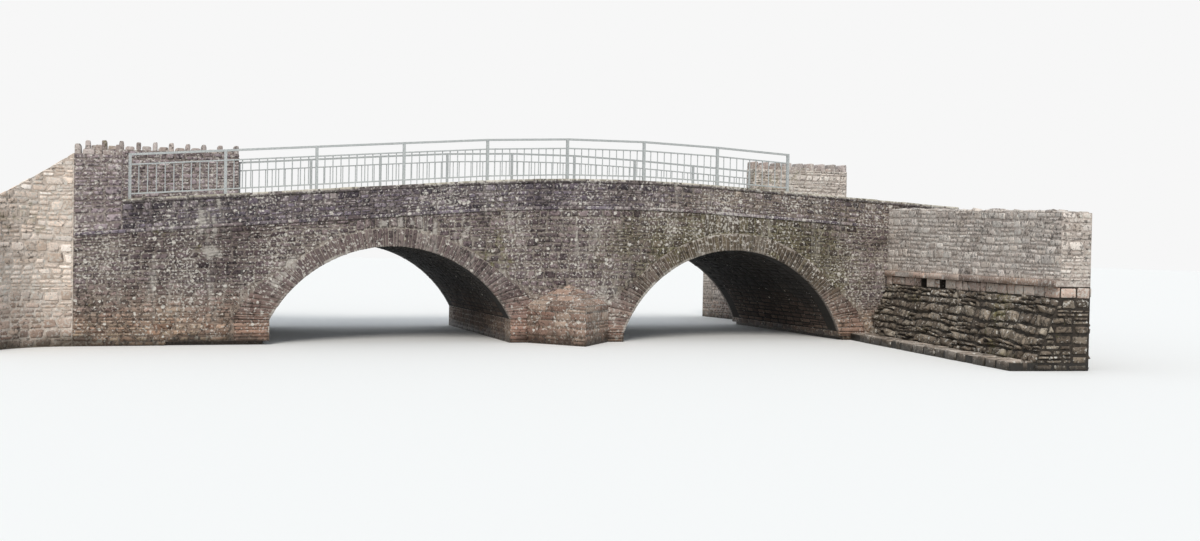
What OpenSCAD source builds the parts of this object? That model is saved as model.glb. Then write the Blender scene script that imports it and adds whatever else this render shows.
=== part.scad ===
// Two-arch rubble stone bridge with a humped parapet and a barred steel railing.
// The origin is the centre of the pier's foot at water level. X runs along the
// bridge, Y runs across it (the front face is at -Y) and Z is up. Millimetres.

/* [Left arch] */
// Clear width of the left arch between its jambs
left_span = 3740; // [3200:10:4200]
// Height of the crown above the springing of the left arch
left_rise = 1130; // [900:10:1250]
// Height of the springing of the left arch above the foot
left_spring = 380; // [200:10:450]

/* [Right arch] */
// Clear width of the right arch between its jambs
right_span = 4020; // [3400:10:4400]
// Height of the crown above the springing of the right arch
right_rise = 1390; // [1100:10:1480]
// Height of the springing of the right arch above the foot
right_spring = 150; // [80:10:250]

/* [Arch stones] */
// Depth of the arch ring, from soffit to back
ring_t = 280; // [200:5:320]
// Length of the dressed face stones into the vault
ring_len = 350; // [250:10:450]
// How far the dressed face stones stand proud of the wall
ring_proud = 15; // [5:1:40]

/* [Pier] */
// Width of the pier between the two arches
pier_w = 1940; // [1500:20:2400]
// How far the cutwater's nose stands out from the face
nose_out = 900; // [500:20:1200]
// Height of the cutwater's upright part
nose_h = 620; // [400:10:900]
// Height of the cutwater's sloping cap
nose_cap = 330; // [200:10:400]

/* [Bridge body] */
// Width of the bridge over its two faces
bridge_w = 4300; // [3800:50:5000]
// Distance from the pier's centre to the left end of the body
left_end = 7450; // [6600:50:7800]
// Distance from the pier's centre to the right end of the body
right_end = 7400; // [7200:50:8000]
// Thickness of the spandrel walls
spandrel_t = 450; // [400:10:600]
// Thickness of the road deck
deck_t = 80; // [60:5:150]

/* [Worn feet] */
// Height of the hollow that the stream has worn under the abutments
scour_h = 60; // [40:5:90]
// Depth of the hollow into the abutments
scour_in = 90; // [50:10:150]
// Length of the hollow along the front face, from the left arch's jamb
scour_run = 1500; // [900:50:1900]

/* [Hump] */
// Height of the parapet's top at the crest of the hump
crest_z = 2660; // [2600:10:2900]
// Distance of the crest from the pier's centre
crest_x = 1050; // [0:50:2500]
// Radius of the arc over the crest
hump_r = 34000; // [30000:500:60000]
// Distance from the crest to the start of the left ramp
arc_left = 2850; // [2000:50:3500]
// Distance from the crest to the start of the right ramp
arc_right = 1720; // [1500:10:3500]

/* [Parapet] */
// Height of the parapet above the string course, with its coping
parapet_h = 435; // [400:5:700]
// Thickness of the parapet
parapet_t = 350; // [300:10:400]
// Thickness of the coping
coping_t = 50; // [30:5:90]
// Overhang of the coping on each side
coping_out = 15; // [5:5:40]
// Height of the string course
string_h = 50; // [40:5:90]
// How far the string course stands out over the arches
string_out = 20; // [15:5:60]
// Distance from the pier's centre to the left end of the projecting string
string_left = 4300; // [3500:50:5000]
// Distance from the pier's centre to the right end of the projecting string
string_right = 5300; // [4500:50:5700]

/* [Approach walls] */
// Distance from the pier's centre to the front wall's high part on the left
front_high_x = 6800; // [6500:50:6900]
// Top of the front wall's high part
front_high_z = 2760; // [2500:10:2900]
// Distance from the pier's centre to the back wall's high part on the left
back_left_x = 4900; // [4400:50:5400]
// Top of the back wall's high part on the left
back_left_z = 3080; // [2800:10:3200]
// Distance from the pier's centre to the back wall's high part on the right
back_right_x = 5250; // [5000:50:5800]
// Top of the back wall's high part on the right
back_right_z = 3200; // [3000:10:3400]
// Height of the tall upright coping stones
cock_h = 160; // [130:5:240]
// Height of the short coping stones between them
hen_h = 70; // [50:5:110]
// Distance between two tall coping stones
cock_pitch = 250; // [200:10:320]
// Thickness of a tall coping stone
cock_w = 95; // [80:5:150]

/* [Left wing walls] */
// Radius of the hollow side of the curved wing wall
wing_r = 1100; // [900:20:1400]
// Turn of the curved wing wall in degrees
wing_turn = 78; // [60:1:90]
// Thickness of the curved wing wall
wing_t = 350; // [300:10:400]
// Top of the curved wing wall at its low end
wing_low_z = 1760; // [1500:10:2100]

/* [Right wing walls] */
// Distance from the pier's centre to the river face of the straight wing wall
bank_x = 5950; // [5800:10:6200]
// Turn of the straight wing wall towards the river in degrees
bank_turn = 8; // [0:1:12]
// Length of the front wing wall
bank_len = 5600; // [4500:50:6000]
// Length of the back wing wall
bank_back_len = 2800; // [2000:50:4000]
// Thickness of the straight wing walls
bank_t = 450; // [400:10:600]
// Top of the straight wing wall at the bridge
bank_top_z = 2300; // [2000:10:2300]
// Top of the straight wing wall at its far end
bank_low_z = 2150; // [1800:10:2200]
// Height of the dry-stone revetment below the drains
revet_h = 980; // [800:10:1050]
// How far the foot of the revetment stands out from the wing wall
revet_out = 380; // [250:10:500]
// Height of the drain openings
drain_h = 165; // [120:5:220]
// Width of the drain openings
drain_w = 200; // [150:5:260]
// Distance from the bridge face to the middle of the first drain
drain_first = 1470; // [1000:10:1700]
// Distance between the two drains
drain_pitch = 680; // [500:10:900]
// Thickness of the ledge stones over the drains
ledge_t = 75; // [50:5:110]
// How far the ledge stones stand out
ledge_out = 60; // [30:5:110]
// Width of the flat footing along the water
toe_w = 330; // [200:10:420]
// Height of the flat footing
toe_h = 110; // [80:5:160]

/* [Railing] */
// Height of the top rail's upper edge above the coping
rail_h = 670; // [600:10:900]
// Drop from the top rail to the second rail
rail_gap = 120; // [90:5:160]
// Gap under the bottom rail
rail_foot = 70; // [50:5:110]
// Height of the top rail's section
rail_top_t = 32; // [25:1:40]
// Height of the second and bottom rails' sections
rail_bar_t = 20; // [14:1:26]
// Width of the rails
rail_w = 36; // [30:1:44]
// Side of the square posts
post_w = 42; // [38:1:50]
// Diameter of the upright bars
bar_d = 16; // [12:1:18]
// Number of gaps between bars in one bay
bar_gaps = 11; // [10:1:12]
// Distance between the posts on the front parapet
bay = 1340; // [1250:10:1380]
// Distance from the pier's centre to the front railing's first post
rail_left = 6700; // [6650:10:6700]

/* [Hidden] */

// Segments of a full circle on the arches
arch_fn = 240;
// Length of each straight step that the hump's line is laid in
hump_step = 500;
// Gap between the cutwater and the proud foot of each ring
nose_clear = 8;
// Bays on each side, and bays held by one railing node
bays = 8;
bays_each = 2;

half_w = bridge_w / 2;
// Radius of a circle through both springings and the crown
function arch_radius(span, rise) = (span * span / 4 + rise * rise) / (2 * rise);
left_r = arch_radius(left_span, left_rise);
right_r = arch_radius(right_span, right_rise);
left_cx = -(pier_w + left_span) / 2;
right_cx = (pier_w + right_span) / 2;
left_cz = left_spring + left_rise - left_r;
right_cz = right_spring + right_rise - right_r;
// Half of the angle that each ring turns through
left_half = asin(left_span / 2 / left_r);
right_half = asin(right_span / 2 / right_r);
// Height of the back of each ring at its springing, where the masonry below ends
left_seat = left_spring + ring_t * cos(left_half);
right_seat = right_spring + ring_t * cos(right_half);
left_jamb = left_cx - left_span / 2;
right_jamb = right_cx + right_span / 2;
// Drops below the parapet's top, for each course that follows the hump
coping_drop = coping_t;
string_drop = parapet_h;
spandrel_drop = parapet_h + string_h;
deck_top_drop = spandrel_drop - deck_t;
// Room that every cut passes beyond its solid
over = 50;
very_high = 6000;

// Half the width of the cutwater, which fits between the feet of the two rings
nose_half = pier_w / 2 - ring_t * max(sin(left_half), sin(right_half)) - nose_clear;

// Height of the hump's line at a place along the bridge: an arc over the crest, which
// runs on at both ends as straight ramps with the arc's own slope there
function curve_z(x) =
    let (
        off = abs(x - crest_x),
        on_arc = min(off, x < crest_x ? arc_left : arc_right),
        height = sqrt(hump_r * hump_r - on_arc * on_arc)
    )
    crest_z - hump_r + height - (off - on_arc) * on_arc / height;
// Height of the parapet's top, laid straight between the steps
function hump(x) =
    let (a = floor(x / hump_step) * hump_step, za = curve_z(a), zb = curve_z(a + hump_step))
    za + (zb - za) * (x - a) / hump_step;
// Points along the hump between two places, lowered by a drop
function hump_points(x0, x1, drop) = [
    [x0, hump(x0) - drop],
    for (i = [floor(x0 / hump_step) + 1 : 1 : ceil(x1 / hump_step) - 1])
        [i * hump_step, curve_z(i * hump_step) - drop],
    [x1, hump(x1) - drop]
];
function backwards(list) = [for (i = [len(list) - 1 : -1 : 0]) list[i]];

stone_dark = [0.42, 0.36, 0.34];
stone_face = [0.52, 0.46, 0.42];
stone_pale = [0.66, 0.62, 0.56];
stone_red = [0.60, 0.45, 0.38];
road_grey = [0.55, 0.53, 0.50];
steel = [0.70, 0.72, 0.73];

// A profile drawn in X and Z, given its thickness between two places across the bridge
module across(y0, y1) {
    translate([0, y1, 0]) rotate([90, 0, 0]) linear_extrude(y1 - y0) children();
}

// Both sides use the same shapes: side -1 is the front and side 1 the back
module on_face(side, thickness, out = 0) {
    if (side < 0)
        across(-half_w - out, -half_w + thickness) children();
    else
        across(half_w - thickness, half_w + out) children();
}

// Everything from the foot up to the hump's curve, lowered by a drop
module below_hump(x0, x1, drop) {
    polygon(concat([[x0, 0]], hump_points(x0, x1, drop), [[x1, 0]]));
}

// A course that follows the hump between two drops
module hump_course(x0, x1, drop_top, drop_low) {
    polygon(concat(hump_points(x0, x1, drop_top), backwards(hump_points(x0, x1, drop_low))));
}

// Everything above a course of the hump, up to a level top
module wall_over_hump(x0, x1, drop_low, top) {
    polygon(concat(hump_points(x0, x1, drop_low), [[x1, top], [x0, top]]));
}

// Wedge that holds an arch ring between its two radial skewbacks
module wedge(half_angle, reach) {
    side = reach * sin(half_angle);
    rise = reach * cos(half_angle);
    polygon([[0, 0], [side, rise], [side, 2 * reach], [-side, 2 * reach], [-side, rise]]);
}

module ring_profile(cx, cz, r, half_angle) {
    translate([cx, cz]) intersection() {
        difference() {
            circle(r = r + ring_t, $fn = arch_fn);
            circle(r = r, $fn = arch_fn);
        }
        wedge(half_angle, 2 * r);
    }
}

// The ring with the arch's hollow under it, which the walls above leave free
module arch_cut(cx, cz, r, half_angle) {
    translate([cx, cz]) intersection() {
        circle(r = r + ring_t, $fn = arch_fn);
        wedge(half_angle, 2 * r);
    }
}

module left_ring_profile() { ring_profile(left_cx, left_cz, left_r, left_half); }
module right_ring_profile() { ring_profile(right_cx, right_cz, right_r, right_half); }
module left_cut() { arch_cut(left_cx, left_cz, left_r, left_half); }
module right_cut() { arch_cut(right_cx, right_cz, right_r, right_half); }

module pier_profile() {
    difference() {
        translate([-pier_w / 2, 0]) square([pier_w, left_seat]);
        left_cut();
        right_cut();
    }
}

module abutment_left_profile() {
    difference() {
        translate([-left_end, 0]) square([left_end + left_jamb, left_seat]);
        left_cut();
    }
}

module abutment_right_profile() {
    difference() {
        translate([right_jamb, 0]) square([right_end - right_jamb, right_seat]);
        right_cut();
    }
}

// Walls between two places along the bridge, over the arches and what they stand on
module spandrel_profile(x0, x1) {
    difference() {
        below_hump(x0, x1, spandrel_drop);
        left_cut();
        right_cut();
        translate([-left_end - over, -over])
            square([left_end + over + pier_w / 2, left_seat + over]);
        translate([0, -over]) square([right_end + over, right_seat + over]);
    }
}

// Masonry of the pier, up to the seats of both rings
module pier() {
    color(stone_red) across(-half_w, half_w) pier_profile();
}

// Pointed nose that parts the stream, with a sloping cap against the pier
module cutwater(side) {
    tip = half_w + nose_out;
    color(stone_red) rotate([0, 0, side < 0 ? 0 : 180]) polyhedron(
        points = [
            [-nose_half, -half_w, 0], [0, -tip, 0], [nose_half, -half_w, 0],
            [-nose_half, -half_w, nose_h], [0, -tip, nose_h], [nose_half, -half_w, nose_h],
            [0, -half_w, nose_h + nose_cap]
        ],
        faces = [
            [0, 1, 2], [0, 3, 4, 1], [1, 4, 5, 2], [2, 5, 6, 3, 0], [3, 6, 4], [4, 6, 5]
        ]
    );
}

// Hollow worn by the stream along the foot of a face, between two places
module worn_foot(x0, x1, y0, y1) {
    translate([x0, y0, -over]) cube([x1 - x0, y1 - y0, over + scour_h]);
}

// Each abutment is full width up to the ring's seat, with a core between the spandrel walls.
// Its foot is undercut below the jamb, and the left one also along the front face.
module abutment_left() {
    color(stone_red) difference() {
        union() {
            across(-half_w, half_w) abutment_left_profile();
            across(-half_w + spandrel_t, half_w - spandrel_t)
                below_hump(-left_end, left_jamb - ring_t, spandrel_drop);
        }
        worn_foot(left_jamb - scour_in, left_jamb + over, -half_w - over, half_w + over);
        worn_foot(left_jamb - scour_run, left_jamb, -half_w - over, -half_w + scour_in);
    }
}

module abutment_right() {
    color(stone_red) difference() {
        union() {
            across(-half_w, half_w) abutment_right_profile();
            across(-half_w + spandrel_t, half_w - spandrel_t)
                below_hump(right_jamb + ring_t, right_end, spandrel_drop);
        }
        worn_foot(right_jamb - over, right_jamb + scour_in, -half_w - over, half_w + over);
    }
}

// Vaults of rubble between the dressed rings on the two faces
module vault_left() {
    color(stone_dark) across(-half_w + ring_len, half_w - ring_len) left_ring_profile();
}

module vault_right() {
    color(stone_dark) across(-half_w + ring_len, half_w - ring_len) right_ring_profile();
}

module ring_left(side) {
    color(stone_pale) on_face(side, ring_len, ring_proud) left_ring_profile();
}

module ring_right(side) {
    color(stone_pale) on_face(side, ring_len, ring_proud) right_ring_profile();
}

module spandrel(side, x0, x1) {
    color(stone_face) on_face(side, spandrel_t) spandrel_profile(x0, x1);
}

// Rubble packed between the spandrel walls, over the vaults
module rubble_fill() {
    color(stone_dark) across(-half_w + spandrel_t, half_w - spandrel_t)
        spandrel_profile(left_jamb - ring_t, right_jamb + ring_t);
}

module road_deck() {
    color(road_grey) across(-half_w + parapet_t, half_w - parapet_t)
        hump_course(-left_end, right_end, deck_top_drop, spandrel_drop);
}

// String course of through-stones, which projects over the arches
module string_course(side) {
    color(stone_pale) union() {
        on_face(side, parapet_t) hump_course(-left_end, right_end, string_drop, spandrel_drop);
        on_face(side, parapet_t / 2, string_out)
            hump_course(-string_left, string_right, string_drop, spandrel_drop);
    }
}

module parapet_front() {
    color(stone_dark) on_face(-1, parapet_t)
        hump_course(-front_high_x, right_end, coping_drop, string_drop);
}

module parapet_back() {
    color(stone_dark) on_face(1, parapet_t)
        hump_course(-back_left_x, back_right_x, coping_drop, string_drop);
}

// Thin coping slabs with a small overhang on both sides
module coping(side, x0, x1) {
    middle = side * (half_w - parapet_t / 2);
    reach = parapet_t / 2 + coping_out;
    color(stone_pale) across(middle - reach, middle + reach) hump_course(x0, x1, 0, coping_drop);
}

module high_wall(side, x0, x1, top) {
    color(stone_dark) on_face(side, parapet_t) wall_over_hump(x0, x1, string_drop, top);
}

// Upright coping stones, one tall and one short in turn
module cock_coping(side, x0, x1, top) {
    count = floor((x1 - x0 - cock_w) / cock_pitch);
    pitch = (x1 - x0 - cock_w) / count;
    color(stone_pale) on_face(side, parapet_t) union() {
        translate([x0, top]) square([x1 - x0, hen_h]);
        for (i = [0 : count])
            translate([x0 + i * pitch, top]) square([cock_w, cock_h]);
    }
}

// Curved wing wall that turns from the bridge's end towards the stream's bank,
// with a top that falls all the way
module wing_left(side) {
    start_z = side < 0 ? front_high_z : hump(-left_end);
    fall = atan2(start_z - wing_low_z, wing_r + wing_t);
    color(stone_face) mirror([0, side < 0 ? 0 : 1, 0])
        translate([-left_end, -half_w - wing_r, 0]) difference() {
            rotate([0, 0, 90]) rotate_extrude(angle = wing_turn, $fn = arch_fn)
                translate([wing_r, 0]) square([wing_t, start_z]);
            translate([0, 0, start_z]) rotate([0, -fall, 0])
                translate([-2 * very_high, -very_high, 0]) cube([2 * very_high, 2 * very_high, very_high]);
        }
}

// Places the straight wing wall's own frame: its X runs away from the face along the
// bank, its Y runs from the river into the bank
module along_bank(side) {
    mirror([0, side < 0 ? 0 : 1, 0]) translate([bank_x, -half_w, 0])
        rotate([0, 0, -90 - bank_turn]) children();
}

// Top of the straight wing walls, falling evenly from the bridge to the far end
module bank_wall(side, length, base) {
    color(stone_face) along_bank(side) difference() {
        translate([0, bank_t, 0]) rotate([90, 0, 0]) linear_extrude(bank_t)
            polygon([
                [-over, base], [length, base], [length, bank_low_z], [-over, bank_top_z]
            ]);
        bank_end_cut();
    }
}

// Everything on the bridge's side of its face, seen from the bank's frame
module bank_end_cut() {
    rotate([0, 0, bank_turn]) translate([-very_high, -very_high, -over])
        cube([very_high, 2 * very_high, very_high]);
}

drain_z = revet_h;
ledge_z = drain_z + drain_h;
bank_base = ledge_z + ledge_t;

module wing_right_front() { bank_wall(-1, bank_len, bank_base); }
module wing_right_back() { bank_wall(1, bank_back_len, 0); }

// Blocks beside and between the two drain openings
module drain_course() {
    first = drain_first - drain_w / 2;
    second = first + drain_pitch;
    color(stone_red) along_bank(-1) difference() {
        translate([-over, 0, drain_z]) cube([bank_len + over, bank_t, drain_h]);
        for (start = [first, second])
            translate([start, -over, drain_z - over])
                cube([drain_w, bank_t + 2 * over, drain_h + 2 * over]);
        bank_end_cut();
    }
}

// Long flat stones that bridge the drains and carry the wall above
module wing_ledge() {
    color(stone_pale) along_bank(-1) difference() {
        translate([-over, -ledge_out, ledge_z]) cube([bank_len + over, bank_t + ledge_out, ledge_t]);
        bank_end_cut();
    }
}

// Dry-stone revetment with a sloping face down to the footing
module revetment() {
    color(stone_dark) along_bank(-1) difference() {
        translate([-very_high / 2, 0, 0]) rotate([90, 0, 90]) linear_extrude(very_high / 2 + bank_len)
            polygon([[-revet_out, 0], [bank_t, 0], [bank_t, revet_h], [0, revet_h]]);
        bank_end_cut();
    }
}

// Flat stones along the water at the revetment's foot
module river_footing() {
    slope = revet_out / revet_h;
    color(stone_pale) along_bank(-1) difference() {
        translate([-very_high / 2, 0, 0]) rotate([90, 0, 90]) linear_extrude(very_high / 2 + bank_len)
            polygon([
                [-revet_out - toe_w, 0], [-revet_out, 0],
                [-revet_out + slope * toe_h, toe_h], [-revet_out - toe_w, toe_h]
            ]);
        bank_end_cut();
    }
}

// One rail between two posts, with upright ends that meet the posts flat
module rail(x0, x1, drop, height, y) {
    a = x0 + post_w / 2;
    b = x1 - post_w / 2;
    za = rail_line(a, x0, x1) - drop;
    zb = rail_line(b, x0, x1) - drop;
    across(y - rail_w / 2, y + rail_w / 2)
        polygon([[a, za - height], [b, zb - height], [b, zb], [a, za]]);
}

// Height of the straight line between the tops of two posts
function rail_line(x, x0, x1) =
    let (z0 = hump(x0) + rail_h, z1 = hump(x1) + rail_h) z0 + (z1 - z0) * (x - x0) / (x1 - x0);

// Square post that stands on the slope of the coping
module post(x, y) {
    across(y - post_w / 2, y + post_w / 2)
        wall_over_hump(x - post_w / 2, x + post_w / 2, 0, hump(x) + rail_h);
}

module rail_bay(x0, x1, y) {
    second = rail_gap + rail_top_t;
    lowest = rail_h - rail_foot - rail_bar_t;
    pitch = (x1 - x0) / bar_gaps;
    rail(x0, x1, 0, rail_top_t, y);
    rail(x0, x1, second, rail_bar_t, y);
    rail(x0, x1, lowest, rail_bar_t, y);
    for (i = [1 : bar_gaps - 1]) {
        x = x0 + i * pitch;
        top = rail_line(x, x0, x1) - second - rail_bar_t / 2;
        low = rail_line(x, x0, x1) - lowest - rail_bar_t / 2;
        translate([x, y, low]) cylinder(d = bar_d, h = top - low, $fn = 24);
    }
}

// Two bays with the post at the left of each, and the last post of the row
module railing(first_x, pitch, pair, y) {
    first = (pair - 1) * bays_each;
    last = first + bays_each;
    color(steel) union() {
        for (i = [first : last - 1]) {
            post(first_x + i * pitch, y);
            rail_bay(first_x + i * pitch, first_x + (i + 1) * pitch, y);
        }
        if (last == bays)
            post(first_x + bays * pitch, y);
    }
}

rail_y = half_w - parapet_t / 2;
back_first = -back_left_x + post_w / 2;
back_pitch = (back_right_x + back_left_x - post_w) / bays;

module railing_front(pair) { railing(-rail_left, bay, pair, -rail_y); }
module railing_back(pair) { railing(back_first, back_pitch, pair, rail_y); }

pier();
cutwater(-1);  // cutwater_front
cutwater(1);  // cutwater_back
abutment_left();
abutment_right();
vault_left();
vault_right();
ring_left(-1);  // ring_left_front
ring_left(1);  // ring_left_back
ring_right(-1);  // ring_right_front
ring_right(1);  // ring_right_back
spandrel(-1, -left_end, left_cx);  // spandrel_left_front
spandrel(-1, left_cx, right_cx);  // spandrel_mid_front
spandrel(-1, right_cx, right_end);  // spandrel_right_front
spandrel(1, -left_end, left_cx);  // spandrel_left_back
spandrel(1, left_cx, right_cx);  // spandrel_mid_back
spandrel(1, right_cx, right_end);  // spandrel_right_back
rubble_fill();
road_deck();
string_course(-1);  // string_front
string_course(1);  // string_back
parapet_front();
parapet_back();
coping(-1, -front_high_x, right_end);  // coping_front
coping(1, -back_left_x, back_right_x);  // coping_back
high_wall(-1, -left_end, -front_high_x, front_high_z);  // high_wall_front
high_wall(1, -left_end, -back_left_x, back_left_z);  // high_wall_back_left
high_wall(1, back_right_x, right_end, back_right_z);  // high_wall_back_right
cock_coping(-1, -left_end, -front_high_x, front_high_z);  // cock_coping_front
cock_coping(1, -left_end, -back_left_x, back_left_z);  // cock_coping_back_left
cock_coping(1, back_right_x, right_end, back_right_z);  // cock_coping_back_right
wing_left(-1);  // wing_left_front
wing_left(1);  // wing_left_back
wing_right_front();
wing_right_back();
drain_course();
wing_ledge();
revetment();
river_footing();
railing_front(1);  // railing_front_1
railing_front(2);  // railing_front_2
railing_front(3);  // railing_front_3
railing_front(4);  // railing_front_4
railing_back(1);  // railing_back_1
railing_back(2);  // railing_back_2
railing_back(3);  // railing_back_3
railing_back(4);  // railing_back_4
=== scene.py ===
"""Looks of a humped two-arch bridge of rubble stone with a barred steel railing.

Metres. X runs along the bridge, Y across it (the front face is at -Y) and Z is up, with
the origin at the foot of the pier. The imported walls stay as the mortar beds, and every
stone on them is a small closed solid that stands a little proud.
"""
import functools
import math

import bpy
import numpy as np
from mathutils import Matrix, Vector


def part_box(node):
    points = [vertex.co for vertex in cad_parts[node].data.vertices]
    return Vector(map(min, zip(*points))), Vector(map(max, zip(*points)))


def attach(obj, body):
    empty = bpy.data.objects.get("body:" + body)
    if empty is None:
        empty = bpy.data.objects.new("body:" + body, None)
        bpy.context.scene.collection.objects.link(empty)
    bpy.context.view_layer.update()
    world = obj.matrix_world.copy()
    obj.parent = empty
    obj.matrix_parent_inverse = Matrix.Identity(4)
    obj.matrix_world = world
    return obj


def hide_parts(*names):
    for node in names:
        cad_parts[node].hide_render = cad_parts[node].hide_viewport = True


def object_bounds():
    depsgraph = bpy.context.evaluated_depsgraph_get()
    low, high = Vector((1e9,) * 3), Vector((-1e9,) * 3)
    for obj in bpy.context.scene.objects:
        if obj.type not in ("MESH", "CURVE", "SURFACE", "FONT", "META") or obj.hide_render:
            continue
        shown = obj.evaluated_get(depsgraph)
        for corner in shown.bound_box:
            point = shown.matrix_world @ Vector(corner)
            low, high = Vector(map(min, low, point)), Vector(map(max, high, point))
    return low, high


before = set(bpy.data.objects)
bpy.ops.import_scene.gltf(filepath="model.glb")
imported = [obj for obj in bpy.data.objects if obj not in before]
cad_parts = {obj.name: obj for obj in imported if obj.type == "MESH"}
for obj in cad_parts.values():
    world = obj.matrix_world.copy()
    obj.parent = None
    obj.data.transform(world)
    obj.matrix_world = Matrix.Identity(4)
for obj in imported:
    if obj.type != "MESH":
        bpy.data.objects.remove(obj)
CAD_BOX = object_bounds()
BODY = "root"
FRONT, BACK = -1, 1
WORD = {FRONT: "front", BACK: "back"}
UP = np.array([0.0, 0.0, 1.0])


def corners(node):
    """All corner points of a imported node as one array."""
    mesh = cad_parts[node].data
    points = np.zeros(len(mesh.vertices) * 3)
    mesh.vertices.foreach_get("co", points)
    return points.reshape(-1, 3)


def low(node):
    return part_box(node)[0]


def high(node):
    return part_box(node)[1]


# Main sizes of the bridge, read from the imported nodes
HALF_W = high("pier").y
LEFT_END = low("abutment_left").x
RIGHT_END = high("abutment_right").x
WHOLE = (LEFT_END, RIGHT_END)
PARAPET_T = HALF_W - high("road_deck").y
COPING_T = high("coping_front").z - high("parapet_front").z
PARAPET_H = high("coping_front").z - high("string_front").z
STRING_H = high("string_front").z - high("spandrel_mid_front").z
RING_Y = -low("ring_left_front").y
RING_LEN = high("ring_left_front").y + RING_Y
RING_T = 0.28
STRING_OUT = -low("string_front").y - HALF_W
STRING_PROUD = (-4.3, 5.3)


class Arch:
    """Circle through both springings and the crown of one arch."""

    def __init__(self, ring, left_jamb, right_jamb):
        self.spring = low(ring).z
        rise = high(ring).z - RING_T - self.spring
        span = right_jamb - left_jamb
        self.left = left_jamb
        self.right = right_jamb
        self.r = (span * span / 4 + rise * rise) / (2 * rise)
        self.cx = (left_jamb + right_jamb) / 2
        self.cz = self.spring + rise - self.r
        self.half = math.asin(span / 2 / self.r)


PIER_LEFT, PIER_RIGHT = low("pier").x, high("pier").x
LEFT_JAMB = 2 * low("spandrel_mid_front").x - PIER_LEFT
RIGHT_JAMB = 2 * high("spandrel_mid_front").x - PIER_RIGHT
LEFT_ARCH = Arch("ring_left_front", LEFT_JAMB, PIER_LEFT)
RIGHT_ARCH = Arch("ring_right_front", PIER_RIGHT, RIGHT_JAMB)
ARCHES = (LEFT_ARCH, RIGHT_ARCH)
# The flat stones at each springing reach further into the wall than the ring above them
LONG_STONE = 0.24
LONG_FROM = 0.6
# Half of the stretch over each crown that holds a row of upright stones
CROWN_HALF = 0.6
# Dressed stones beside each jamb, and the worn hollow under the left one
QUOIN = 0.54
SCOUR_H = 0.06
SCOUR_RUN = 1.5
# Height at which the lowest stones start: over the hollow, and everywhere else
FOOT = SCOUR_H + 0.003
PLAIN_FOOT = 0.004
# Height to which the long flat stones of the face reach
LOW_BAND = 0.66
# How far the stones of a face stand out, and those right under the string
FACE_RISE = (0.003, 0.011)
PROUD_RISE = (0.010, 0.017)


def top_edge(node):
    """Places along the bridge and the height of a course's upper edge at each of them."""
    points = corners(node)
    places = np.unique(points[:, 0].round(3))
    heights = [points[np.abs(points[:, 0] - x) < 2e-3, 2].max() for x in places]
    return places, np.array(heights)


STRING_EDGE = top_edge("string_front")


def string_top(x):
    return np.interp(x, *STRING_EDGE)


def string_low(x):
    return string_top(x) - STRING_H


def coping_top(x):
    return string_top(x) + PARAPET_H


def coping_low(x):
    return coping_top(x) - COPING_T


# Straight wing walls at the right end: they turn a little from square to the bridge
STRAIGHT_X = 5.95
STRAIGHT_TURN = math.radians(8)
STRAIGHT_T = 0.45
STRAIGHT_LEN = {FRONT: 5.6, BACK: 2.8}
STRAIGHT_TOP = 2.30
STRAIGHT_END_TOP = 2.15
REVET_H = low("drain_course").z
REVET_OUT = 0.38
LEDGE_Z = low("wing_ledge").z
LEDGE_TOP = high("wing_ledge").z
LEDGE_OUT = 0.06
DRAINS = (1.37, 1.57, 2.05, 2.25)
TOE_W = 0.33
TOE_H = high("river_footing").z
# Curved wing walls at the left end, and the upright coping stones
WING_R = 1.1
WING_T = 0.35
WING_TURN = math.radians(78)
WING_LOW_Z = 1.76
COCK_PITCH = 0.25
COCK_W = 0.095
HEN_H = 0.07

SEED = 41
RNG = np.random.default_rng(SEED)


def smooth_noise(u, v, scale, seed):
    """Soft waves from -1 to 1: the mean of five sines that run in seeded directions."""
    draw = np.random.default_rng(seed)
    total = 0
    for _ in range(5):
        turn, phase = draw.uniform(0, 2 * math.pi, 2)
        pitch = draw.uniform(0.6, 1.7) / scale
        run = (u * math.cos(turn) + v * math.sin(turn)) * pitch
        total = total + np.sin(run * 2 * math.pi + phase)
    return total / 5


# Places for stones: each returns points from u, v and the height w out of the wall
def plane(origin, along, climb, out):
    """Plane through an origin: u, v and w run along the three directions given."""
    origin, along, climb, out = (np.array(p, float) for p in (origin, along, climb, out))
    return lambda u, v, w: (origin + u[..., None] * along + v[..., None] * climb
                            + w[..., None] * out)


def slope_plane(origin, along, climb):
    """Any plane: u and v run along two directions at right angles, w along their normal."""
    return plane(origin, along, climb, np.cross(along, climb))


def long_face(y, out):
    """Upright face along the bridge: u is X, v is Z, and w leaves it towards out in Y."""
    return plane((0, y, 0), (1, 0, 0), UP, (0, out, 0))


def cross_face(x, out, y=0.0, hand=1):
    """Upright face across the bridge: u runs from y to hand, v is Z, w leaves it in X."""
    return plane((x, y, 0), (0, hand, 0), UP, (out, 0, 0))


def barrel(arch):
    """Soffit of an arch: u is Y, v the arc from the crown, w points to the centre."""
    def place(u, v, w):
        angle = v / arch.r
        radius = arch.r - w
        return np.stack([arch.cx + radius * np.sin(angle), u,
                         arch.cz + radius * np.cos(angle)], -1)
    return place


def ring_face(arch, side):
    """Face of an arch ring: u is the angle from the crown, v the radius."""
    return lambda u, v, w: np.stack([arch.cx + v * np.sin(u), side * (RING_Y + w),
                                     arch.cz + v * np.cos(u)], -1)


def wing_point(side, turn, radius):
    """X and Y of a point of a curved wing wall, from its turn and its radius."""
    return (LEFT_END - radius * np.sin(turn),
            side * (HALF_W + WING_R - radius * np.cos(turn)))


def wing_round(side, radius, out):
    """Side of a curved wing wall: u is the arc from the bridge's end, v is Z, and w
    goes away from the centre for out 1 and towards it for out -1."""
    return lambda u, v, w: np.stack([*wing_point(side, u / radius, radius + out * w), v], -1)


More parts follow.
